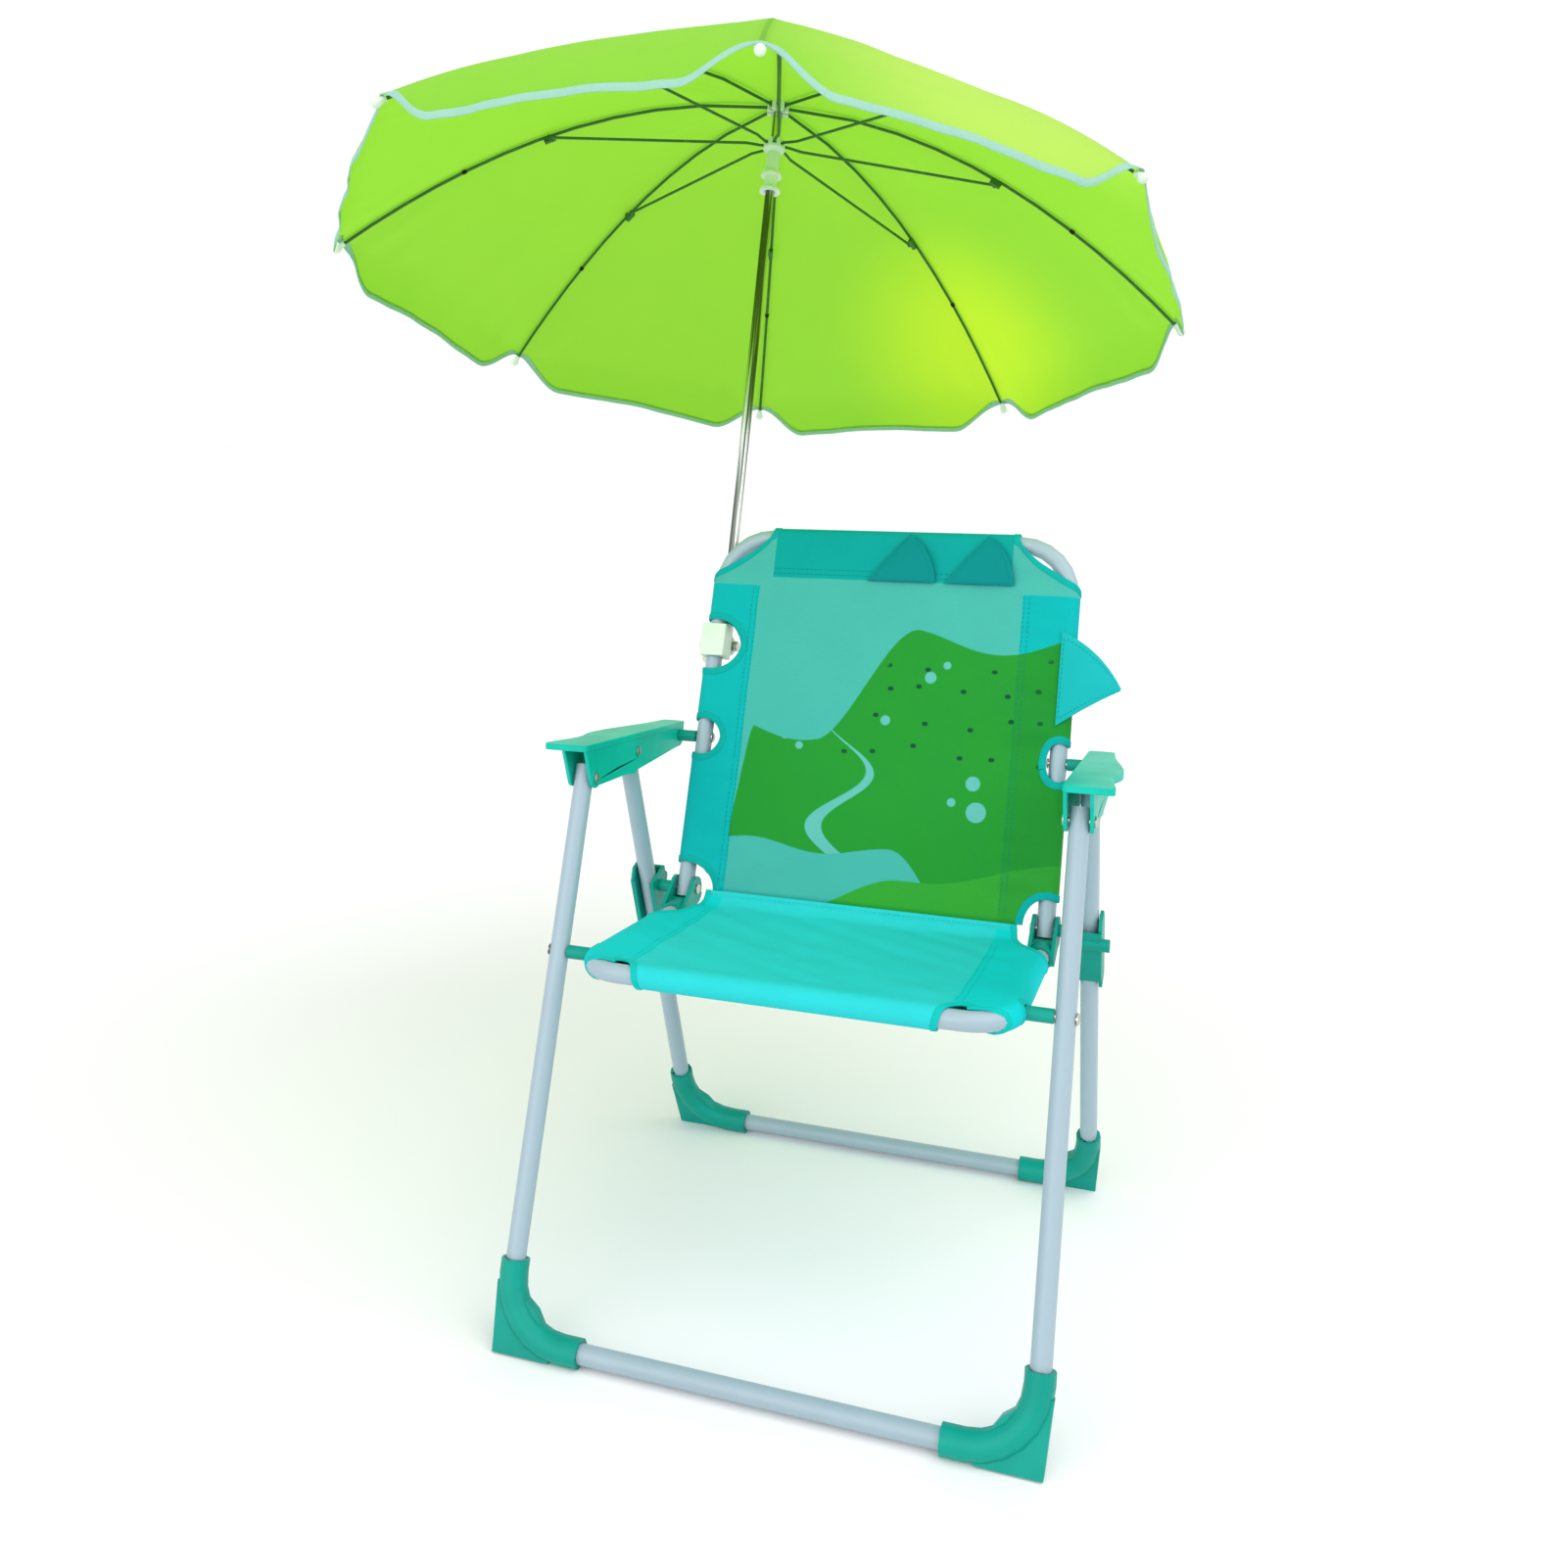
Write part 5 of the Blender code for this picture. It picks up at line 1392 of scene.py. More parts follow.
def inward_ways(line: Sequence[Vector], keep: Callable[[float, float], float]) -> list[Vector]:
    """For each point of a cut line, the flat direction that leads into the cloth.

    Args:
        line: Points of the cut line.
        keep: How far inside the cloth a flat point lies.

    Returns:
        One unit vector for each point.
    """
    ways = []
    for i, point in enumerate(line):
        before, after = line[max(i - 1, 0)], line[min(i + 1, len(line) - 1)]
        along = (after - before).normalized()
        way = Vector((-along.y, along.x))
        probe = way * PROBE
        if keep(*(point + probe)) < keep(*(point - probe)):
            way.negate()
        ways.append(way)
    for _ in range(2):
        ways = [
            (ways[max(i - 1, 0)] + ways[i] * 2 + ways[min(i + 1, len(ways) - 1)]).normalized()
            for i in range(len(ways))
        ]
    return ways


@dataclass(frozen=True)
class EdgeTape:
    """Binding tape, folded over a cut edge and stitched down."""

    width: float = 4.8 * MM
    overhang: float = 0.7 * MM
    half: float = 0.95 * MM
    step: float = 2.5 * MM
    seam_depth: float = 3.4 * MM

    def section(self) -> list[FlatPoint]:
        """Outline of the folded tape: distance into the cloth and height over it.

        Returns:
            Points in order round the tape.
        """
        width, over, half = self.width, self.overhang, self.half
        top = [(width, half * 0.55), (width - 0.5 * MM, half), (0.4 * MM, half * 1.05)]
        nose = [(-over, half * 0.5), (-over, -half * 0.5)]
        return [*top, *nose, *[(d, -h) for d, h in reversed(top)]]

    def build(
        self, name: str, sheet: CutSheet, chains: Iterable[Sequence[FlatPoint]]
    ) -> bpy.types.Object:
        """Lays the tape along cut lines of a cloth.

        Args:
            name: The piece's name.
            sheet: The cloth that it binds.
            chains: The cut lines, in flat coordinates.

        Returns:
            One object with every stretch of tape.
        """
        points, faces, flat = [], [], []
        section = self.section()
        for chain in chains:
            line = evened(chain, self.step)
            ways = inward_ways(line, sheet.keep)
            start, run = len(points), 0.0
            for i, (point, way) in enumerate(zip(line, ways)):
                run += (point - line[i - 1]).length if i else 0.0
                for j, (depth, height) in enumerate(section):
                    spot = point + way * depth
                    points.append(sheet.lift(spot.x, spot.y, height))
                    flat.append((j * TAPE_RUN, run))
            faces += ring_faces(start, len(line), len(section))
        return mesh_object(name, points, faces, flat)


def ring_faces(start: int, rings: int, sides: int) -> list[tuple[int, ...]]:
    """Faces of a closed tube of rings, with a cap at each end.

    Args:
        start: Index of the first point.
        rings: How many rings.
        sides: Points in a ring.

    Returns:
        The faces, as indices of points.
    """
    faces = []
    for i in range(rings - 1):
        for j in range(sides):
            k = (j + 1) % sides
            low, high = start + i * sides, start + (i + 1) * sides
            faces.append((low + j, high + j, high + k, low + k))
    last = start + (rings - 1) * sides
    faces.append(tuple(start + j for j in range(sides)))
    faces.append(tuple(last + j for j in reversed(range(sides))))
    return faces


@dataclass(frozen=True)
class StitchRow:
    """A row of sewing thread that dips into the cloth between stitches."""

    stitch: float = 2.6 * MM
    gap: float = 1.1 * MM
    thread: float = 0.24 * MM
    rise: float = 0.55 * MM
    sides: int = 4
    rings: tuple[FlatPoint, ...] = ((-0.5, 0.2), (-0.36, 0.9), (0.0, 1.0), (0.36, 0.9), (0.5, 0.2))

    def build(
        self, name: str, sheet: CutSheet, runs: Iterable[Sequence[FlatPoint]]
    ) -> bpy.types.Object:
        """Sews rows of stitches onto a cloth.

        Args:
            name: The piece's name.
            sheet: The cloth that they are sewn on.
            runs: Lines of stitching in flat coordinates.

        Returns:
            One object with every stitch.
        """
        points, faces, flat = [], [], []
        for run in runs:
            line = evened(run, self.stitch + self.gap)
            for before, after in zip(line, line[1:]):
                along = (after - before).normalized()
                beside = Vector((-along.y, along.x))
                middle = (before + after) / 2
                if sheet.keep(*middle) < 0:
                    continue
                start = len(points)
                for share, swell in self.rings:
                    spot = middle + along * share * self.stitch
                    height = self.rise * (0.55 + 0.45 * swell)
                    for turn in range(self.sides):
                        angle = math.tau * turn / self.sides
                        out = spot + beside * math.cos(angle) * self.thread * swell
                        lift = height + math.sin(angle) * self.thread * swell
                        points.append(sheet.lift(out.x, out.y, lift))
                        flat.append((turn * self.thread, share * self.stitch))
                faces += ring_faces(start, len(self.rings), self.sides)
        return mesh_object(name, points, faces, flat)


def oval(across: float, up: float, radius: float, reach: float) -> float:
    """How far outside a cut-out a point lies.

    Args:
        across: Distance from the cut-out's middle, across the cloth.
        up: Distance from the cut-out's middle, up the cloth.
        radius: The cut-out's radius up the cloth.
        reach: Its radius across the cloth, or 0 for a round one.

    Returns:
        A length, negative inside the cut-out.
    """
    return math.hypot(across * (radius / reach if reach else 1.0), up) - radius


@dataclass
class BackSling:
    """The back's printed cloth: sleeves on three sides and round cut-outs at the fittings."""

    shape: SlingShape
    rack: FinishRack
    cloth: float = 0.8 * MM
    hinge_cut: float = 21 * MM
    hinge_reach: dict[Side, float] = field(
        default_factory=lambda: {Side.LEFT: 26 * MM, Side.RIGHT: 16.5 * MM}
    )
    arm_rise: float = 119 * MM
    arm_cut: float = 15 * MM
    arm_reach: dict[Side, float] = field(
        default_factory=lambda: {Side.LEFT: 16 * MM, Side.RIGHT: 8.5 * MM}
    )
    clamp_rise: float = 194 * MM
    clamp_cut: float = 21 * MM
    clamp_reach: float = 23.9 * MM
    blend_height: float = 25 * MM
    tail_gap: float = 12 * MM
    top_sleeve_half: float = 98.5 * MM
    seam_inset: float = 3.0 * MM
    seam_pitch: float = 4 * MM
    side_seam_shift: float = 2 * MM
    side_seam_ends: FlatPoint = (8 * MM, 243 * MM)
    top_seam_half: float = 95 * MM
    sag: float = 2.2 * MM
    ripple: float = 2.0 * MM
    ripple_starts: FlatPoint = (0.090, 0.112)
    ripple_pattern: Pattern = (14, 95, 3.1)
    softness: float = 1.0 * MM
    soft_pattern: Pattern = (26, 30, 8.4)
    corner_slant: float = 0.7
    tied_edge: float = 12 * MM
    tied_seam: float = 14 * MM

    def corner_top(self, across: float) -> float:
        """How high the cloth reaches beside the top sleeve, up the back frame."""
        table = millimetres((102, 286), (120, 269), (139, 256), (151, 250))
        return along_table(across, table)

    def keep(self, across: float, along: float) -> float:
        """How far inside the cut cloth a flat point lies, negative outside it.

        Args:
            across: Flat length from the chair's middle.
            along: Flat length up from the seam.

        Returns:
            The length.
        """
        shape, half = self.shape, self.shape.plan.half_width
        distance, _ = shape.across_of(across, along)
        rise = along + shape.seam_rise
        length = abs(across)
        side = Side.LEFT if across < 0 else Side.RIGHT
        cuts = [
            (0.0, self.hinge_cut, self.hinge_reach[side]),
            (self.arm_rise, self.arm_cut, self.arm_reach[side]),
        ]
        if side is Side.LEFT:
            cuts.append((self.clamp_rise, self.clamp_cut, self.clamp_reach))
        beside = (self.corner_top(length) - rise) * self.corner_slant
        values = [max(self.top_sleeve_half - length, beside)]
        for height, radius, reach in cuts:
            values.append(oval(distance - half, rise - height, radius, reach if length <= half else 0))
        if length > half + shape.sleeve.radius * math.pi / 2:
            values.append(along - self.tail_gap)
        return min(values)

    def relief(self, across: float, along: float) -> float:
        """Sag and wrinkles of the cloth, as a height over its taut surface.

        Args:
            across: Flat length from the chair's middle.
            along: Flat length up from the seam.

        Returns:
            The height.
        """
        shape, half = self.shape, self.shape.plan.half_width
        across, along, face = shape.faced(across, along)
        if along <= 0 or along >= shape.back_run or abs(across) >= half:
            return 0.0
        side = 1 - (across / half) ** 2
        rise = along / shape.back_run
        free = ease(half - abs(across), 0, self.tied_edge) * ease(along, 0, self.tied_seam)
        free *= ease(shape.back_run - along, 0, self.tied_edge)
        sag = -self.sag * side * math.sin(math.pi * rise)
        ripple = rumple(across, along, self.ripple_pattern)
        beside = ease(abs(across), *self.ripple_starts)
        soft = rumple(across, along, self.soft_pattern)
        return (sag + ripple * self.ripple * beside + soft * self.softness) * free * face

    def sheet(self) -> CutSheet:
        """Cuts the cloth.

        Returns:
            The cut cloth.
        """
        across = self.shape.columns()
        rise = self.shape.back_run
        over = [rise + run for run in self.shape.sleeve.places()]
        along = spaced(0, rise, CLOTH_GRID) + over
        return CutSheet(across, along, self.keep, self.shape.place, self.relief)

    def build(self) -> None:
        """Makes the cloth, its binding and its stitching, and hangs them on the frame."""
        sheet, shape = self.sheet(), self.shape
        chains = [chain for chain in sheet.edges() if len(chain) > 4]
        cloth = sheet.build("back_cloth", self.cloth)
        tape = EdgeTape().build("back_binding", sheet, chains)
        thread = StitchRow().build("back_stitching", sheet, self.seams(chains, sheet))
        start = shape.place(0, 0, 0)
        end = start + shape.up * self.blend_height
        for piece, finish in ((cloth, "printed_fabric"), (tape, "sling_tape"), (thread, "sling_thread")):
            self.rack.dress(piece, finish)
            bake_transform(piece)
        cloth.data.materials.append(self.rack.made["reverse_fabric"])
        cloth.modifiers["cloth_thickness"].material_offset = 1
        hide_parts("back_sling")
        width = 2 * (shape.plan.half_width + shape.sleeve.length)
        length = shape.back_run + shape.sleeve.length
        sheet.area()
        LOG.info("back cloth: %.0f x %.0f mm flat, %d faces", width / MM, length / MM, len(sheet.faces))

    def seams(self, chains: Sequence[Sequence[FlatPoint]], sheet: CutSheet) -> list[list[FlatPoint]]:
        """Lines of stitching: two down each side sleeve, two along the top one, one in each tape.

        Args:
            chains: The cloth's cut lines.
            sheet: The cut cloth.

        Returns:
            The lines, in flat coordinates.
        """
        shape = self.shape
        line = shape.plan.half_width - shape.sleeve.width
        top = shape.up_of(shape.back_length - shape.sleeve.width)
        low, high = (shape.up_of(end) for end in self.side_seam_ends)
        insets = (self.seam_inset, self.seam_inset + self.seam_pitch)
        rows = []
        for side in Side:
            for inset in insets:
                place = side.value * (line - self.side_seam_shift + inset)
                rows.append([(place, low), (place, high)])
        for inset in insets:
            rows.append([(-self.top_seam_half, top + inset), (self.top_seam_half, top + inset)])
        return rows + tape_rows(chains, sheet)


def tape_rows(chains: Sequence[Sequence[FlatPoint]], sheet: CutSheet) -> list[list[FlatPoint]]:
    """Lines of stitching inside each stretch of binding tape.

    Args:
        chains: The cloth's cut lines.
        sheet: The cut cloth.

    Returns:
        The lines.
    """
    rows = []
    for chain in chains:
        line = evened(chain, EdgeTape.step)
        ways = inward_ways(line, sheet.keep)
        rows.append([tuple(spot + way * EdgeTape.seam_depth) for spot, way in zip(line, ways)])
    return rows


SEAT_SIDE_LINES = {
    Side.LEFT: millimetres(
        (82, 152), (94, 141), (106, 131), (118, 124), (138, 119.5), (158, 117)
    ),
    Side.RIGHT: millimetres(
        (96, 152), (108, 142), (120, 131.5), (128, 125), (136, 120.5), (158, 117)
    ),
}


@dataclass
class SeatSling:
    """The seat's plain cloth: a rolled front sleeve, side sleeves and a seam to the back."""

    shape: SlingShape
    rack: FinishRack
    cloth: float = 0.8 * MM
    front_half: float = 97.5 * MM
    eye: float = 5.6 * MM
    tail_gap: float = 14 * MM
    seam_height: float = 0.5 * MM
    seam_pitch: float = 4 * MM
    side_seam_ends: FlatPoint = (-20 * MM, 118 * MM)
    rear_seam: FlatPoint = (116 * MM, -3 * MM)
    tape_width: float = 3.6 * MM
    sag: float = 4.0 * MM
    fold: float = 1.6 * MM
    fold_slant: float = 0.55
    fold_pattern: Pattern = (9, 62, 5.7)
    softness: float = 0.7 * MM
    soft_pattern: Pattern = (30, 34, 1.9)
    edge_slant: float = 0.8
    tied_side: float = 16 * MM
    tied_rear: float = 8 * MM
    tied_front: float = 14 * MM

    def front_line(self, across: float) -> float:
        """Where the cloth ends beside the front sleeve, as a place along the seat.

        Args:
            across: Flat length from the chair's middle.

        Returns:
            The place along the seat.
        """
        table = millimetres(
            (98, -46), (100, -37), (104, -29), (108, -25.5), (112, -24.5), (117, -25.5),
            (121, -28), (125, -30), (139, -27), (150, -24)
        )
        return along_table(across, table)

    def side_line(self, place: float, side: Side) -> float:
        """How far out the cloth reaches beside a hinge, at a place along the seat."""
        return along_table(place, SEAT_SIDE_LINES[side])

    def keep(self, across: float, along: float) -> float:
        """How far inside the cut cloth a flat point lies, negative outside it.

        Args:
            across: Flat length from the chair's middle.
            along: Flat length up from the seam.

        Returns:
            The length.
        """
        shape, half = self.shape, self.shape.plan.half_width
        distance, height = shape.across_of(across, along)
        length = abs(across)
        place = along + shape.bend_run + shape.seat_end
        side = Side.LEFT if across < 0 else Side.RIGHT
        values = [
            max(self.front_half - length, (place - self.front_line(length)) * self.edge_slant),
            (self.side_line(place, side) - distance) * self.edge_slant,
        ]
        if length > half + shape.sleeve.radius * 0.5:
            if length < half + shape.sleeve.radius * math.pi * 0.75:
                values.append(math.hypot(place, height) - self.eye)
        if length > half + shape.sleeve.radius * math.pi / 2:
            values.append(-along - self.tail_gap)
        return min(values)

    def relief(self, across: float, along: float) -> float:
        """Sag and wrinkles of the cloth, as a height over its taut surface.

        Args:
            across: Flat length from the chair's middle.
            along: Flat length up from the seam.

        Returns:
            The height.
        """
        shape, half = self.shape, self.shape.plan.half_width
        across, along, face = shape.faced(across, along)
        if along <= -shape.seat_run or abs(across) >= half:
            return 0.0
        run = -along / shape.seat_run
        free = ease(half - abs(across), 0, self.tied_side) * ease(-along, 0, self.tied_rear)
        free *= ease(shape.seat_run + along, 0, self.tied_front)
        sag = -self.sag * (1 - (across / half) ** 2) * max(math.sin(math.pi * run), 0.0) ** 0.7
        fold = rumple(across, across * self.fold_slant + along, self.fold_pattern)
        soft = rumple(across, along, self.soft_pattern)
        return (sag + fold * self.fold + soft * self.softness) * free * face

    def sheet(self) -> CutSheet:
        """Cuts the cloth.

        Returns:
            The cut cloth.
        """
        across = self.shape.columns()
        run = self.shape.seat_run
        front = [-run - length for length in reversed(self.shape.sleeve.places())]
        bend = spaced(-self.shape.bend_run, 0, 2 * MM)
        flat = spaced(-run, -self.shape.bend_run, CLOTH_GRID)
        along = front[:-1] + flat + bend + [0.0]
        return CutSheet(across, along, self.keep, self.shape.place, self.relief)

    def build(self) -> None:
        """Makes the cloth, its binding, its stitching and the seam, and hangs them on the seat."""
        sheet, shape = self.sheet(), self.shape
        chains = [chain for chain in sheet.edges() if len(chain) > 4]
        cloth = sheet.build("seat_cloth", self.cloth)
        tape = EdgeTape(width=self.tape_width).build("seat_binding", sheet, chains)
        half = shape.plan.half_width
        thread = StitchRow().build("seat_stitching", sheet, self.seams(chains, sheet))
        seam = self.seam(sheet)
        for piece, finish in (
            (cloth, "teal_fabric"),
            (tape, "seat_tape"),
            (thread, "seat_thread"),
            (seam, "teal_fabric"),
        ):
            self.rack.dress(piece, finish)
            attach(piece, "seat")
        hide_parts("seat_sling")
        width = 2 * (half + shape.sleeve.length)
        length = shape.seat_run + shape.sleeve.length
        sheet.area()
        LOG.info("seat cloth: %.0f x %.0f mm flat, %d faces", width / MM, length / MM, len(sheet.faces))

    def seams(self, chains: Sequence[Sequence[FlatPoint]], sheet: CutSheet) -> list[list[FlatPoint]]:
        """Lines of stitching: two along each side sleeve, one by the seam, one in each tape.

        Args:
            chains: The cloth's cut lines.
            sheet: The cut cloth.

        Returns:
            The lines, in flat coordinates.
        """
        shape = self.shape
        front, rear = (shape.along_of(end) for end in self.side_seam_ends)
        line = shape.plan.half_width - shape.sleeve.width + MM
        rows = []
        for out in (line, line + self.seam_pitch):
            rows += [[(side.value * out, front), (side.value * out, rear)] for side in Side]
        half, along = self.rear_seam
        rows.append([(-half, along), (half, along)])
        return rows + tape_rows(chains, sheet)

    def seam(self, sheet: CutSheet) -> bpy.types.Object:
        """The turned-in edge where the back's cloth is sewn to the seat's.

        Args:
            sheet: The cut cloth.

        Returns:
            The seam's object.
        """
        reach = self.side_line(160 * MM, Side.RIGHT) - 2 * MM
        section = ((-5.2, 0.1), (-4.6, 0.9), (-0.6, 1.3), (0.0, 0.5), (0.0, -0.9), (-4.6, -0.9))
        points, flat = [], []
        stations = spaced(-reach, reach, CLOTH_GRID) + [reach]
        for across in stations:
            for j, (along, height) in enumerate(section):
                points.append(sheet.lift(across, along * MM, height * self.seam_height))
                flat.append((j * TAPE_RUN, across))
        return mesh_object("seat_seam", points, ring_faces(0, len(stations), len(section)), flat)


@dataclass
class RimFin:
    """A small sewn flap of doubled cloth: a triangle with bowed free edges."""

    name: str
    node: str
    start: FlatPoint
    end: FlatPoint
    apex: FlatPoint
    bows: FlatPoint
    curl: float
    puff: float = 1.2 * MM
    cloth: float = 1.2 * MM
    rows: int = 14
    columns: int = 12
    folded_share: float = 1.0
    stand_off: float = 1.5 * MM
    softness: float = 0.35 * MM
    soft_pattern: Pattern = (120, 120, 4.2)
    tip_share: float = 0.985
    turned_edge: float = 0.4 * MM
    area_share: float = 0.56
    stitch_rise: float = 0.75 * MM

    def point(self, shape: SlingShape, down: float, over: float, lift: float) -> Vector:
        """A point of the flap, where down runs from its base to its tip and over across it.

        Args:
            shape: The surface of the slings.
            down: Share of the way from base to tip.
            over: Share of the way across.
            lift: Height over the cloth's middle.

        Returns:
            The point.
        """
        start, end, apex = Vector(self.start), Vector(self.end), Vector(self.apex)
        first = self.bowed(start, apex, down, self.bows[0])
        last = self.bowed(end, apex, down, self.bows[1])
        flat = first.lerp(last, over)
        free = down * (1 - down) * 4
        rise = self.puff * math.sin(math.pi * over) * (0.3 + free)
        rise += self.curl * over**3 * math.sin(math.pi * down) + self.curl * 0.5 * down**2
        rise += self.softness * rumple(flat.x, flat.y, self.soft_pattern)
        height = shape.sleeve.radius + self.stand_off + rise + lift
        base = shape.plan.seat_rear + shape.up * flat.y + shape.fore * height
        return base + Vector((flat.x, 0, 0))

    @staticmethod
    def bowed(start: Vector, end: Vector, share: float, bow: float) -> Vector:
        """A point on an edge that bows sideways by a share of its length.

        Args:
            start: The edge's start.
            end: Its end.
            share: Share of its length.
            bow: The bow, as a share of its length.

        Returns:
            The point.
        """
        along = end - start
        side = Vector((along.y, -along.x))
        return start + along * share + side * bow * 4 * share * (1 - share)

    def build(self, shape: SlingShape, rack: FinishRack) -> None:
        """Makes the flap and its stitching, and hangs them on the back.

        Args:
            shape: The surface of the slings.
            rack: The finishes.
        """
        points, flat, faces = [], [], []
        for row in range(self.rows + 1):
            down = row / self.rows * self.tip_share
            for column in range(self.columns + 1):
                spot = self.point(shape, down, column / self.columns, 0.0)
                points.append(spot)
                flat.append((spot.x - shape.plan.middle, (spot - shape.plan.seat_rear).dot(shape.up)))
        wide = self.columns + 1
        for row in range(self.rows):
            for column in range(self.columns):
                low = row * wide + column
                faces.append((low, low + 1, low + 1 + wide, low + wide))
        flap = mesh_object(self.name, points, faces, flat)
        shell = flap.modifiers.new("two_layers", "SOLIDIFY")
        shell.thickness = self.cloth
        shell.offset = 0.0
        edge = flap.modifiers.new("turned_edge", "BEVEL")
        edge.width = self.turned_edge
        edge.segments = 2
        edge.limit_method = "ANGLE"
        edge.angle_limit = SHARP_ANGLE
        thread = self.stitching(shape)
        for piece, finish in ((flap, "fin_fabric"), (thread, "sling_thread")):
            rack.dress(piece, finish)
            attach(piece, "back")
            if self.folded_share < 1:
                base = self.point(shape, 0.0, 0.5, 0.0)
                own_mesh(piece)
        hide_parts(self.node)
        width = (Vector(self.end) - Vector(self.start)).length
        height = (Vector(self.apex) - (Vector(self.start) + Vector(self.end)) / 2).length
        area = width * height * self.area_share
        LOG.info("%s: %.0f x %.0f mm", self.name, width / MM, height / MM)

    def stitching(self, shape: SlingShape) -> bpy.types.Object:
        """A row of stitches along the base and one inside each free edge.

        Args:
            shape: The surface of the slings.

        Returns:
            The stitches' object.
        """

        def place(across: float, along: float, lift: float) -> Vector:
            """Maps the stitches' flat coordinates, both shares of the flap."""
            return self.point(shape, along / self.length, across / self.length, lift)

        sheet = CutSheet((), (), lambda across, along: 1.0, place)
        margin = 0.06 * self.length
        far = 0.90 * self.length
        rows = [
            [(margin, 0.03 * self.length), (self.length - margin, 0.03 * self.length)],
            [(margin, margin), (2.2 * margin, far)],
            [(self.length - margin, margin), (self.length - 2.2 * margin, far)],
        ]
        return StitchRow(rise=self.stitch_rise).build(f"{self.name}_stitching", sheet, rows)

    @property
    def length(self) -> float:
        """A length for the stitches' flat coordinates."""
        return (Vector(self.end) - Vector(self.start)).length


@dataclass
class RimFins:
    """The three fabric fins on the back's rim."""

    shape: SlingShape
    rack: FinishRack
    top_base: float = 250.5 * MM
    top_width: float = 54 * MM
    top_height: float = 38 * MM
    top_middles: FlatPoint = (10 * MM, 71 * MM)
    lean: float = 0.2
    top_bows: FlatPoint = (-0.02, 0.11)
    top_curl: float = 2.6 * MM
    side_place: float = 136 * MM
    side_foot: float = 145.5 * MM
    side_base: float = 71.5 * MM
    side_reach: float = 45.5 * MM
    side_tip: float = 0.41
    side_bows: FlatPoint = (-0.09, -0.02)
    side_curl: float = 0.6 * MM
    side_folded: float = 0.2

    def build(self) -> None:
        """Makes all three."""
        half = self.top_width / 2
        for name, middle in zip(("top_fin_left", "top_fin_right"), self.top_middles):
            apex = (middle + half * self.lean, self.top_base + self.top_height)
            start, end = (middle - half, self.top_base), (middle + half, self.top_base)
            fin = RimFin(f"{name}_cloth", name, start, end, apex, self.top_bows, self.top_curl)
            fin.build(self.shape, self.rack)
        start = (self.side_place, self.side_foot + self.side_base)
        end = (self.side_place, self.side_foot)
        apex = (self.side_place + self.side_reach, self.side_foot + self.side_base * self.side_tip)
        fin = RimFin("side_fin_cloth", "side_fin", start, end, apex, self.side_bows, self.side_curl)
        fin.folded_share = self.side_folded
        fin.build(self.shape, self.rack)


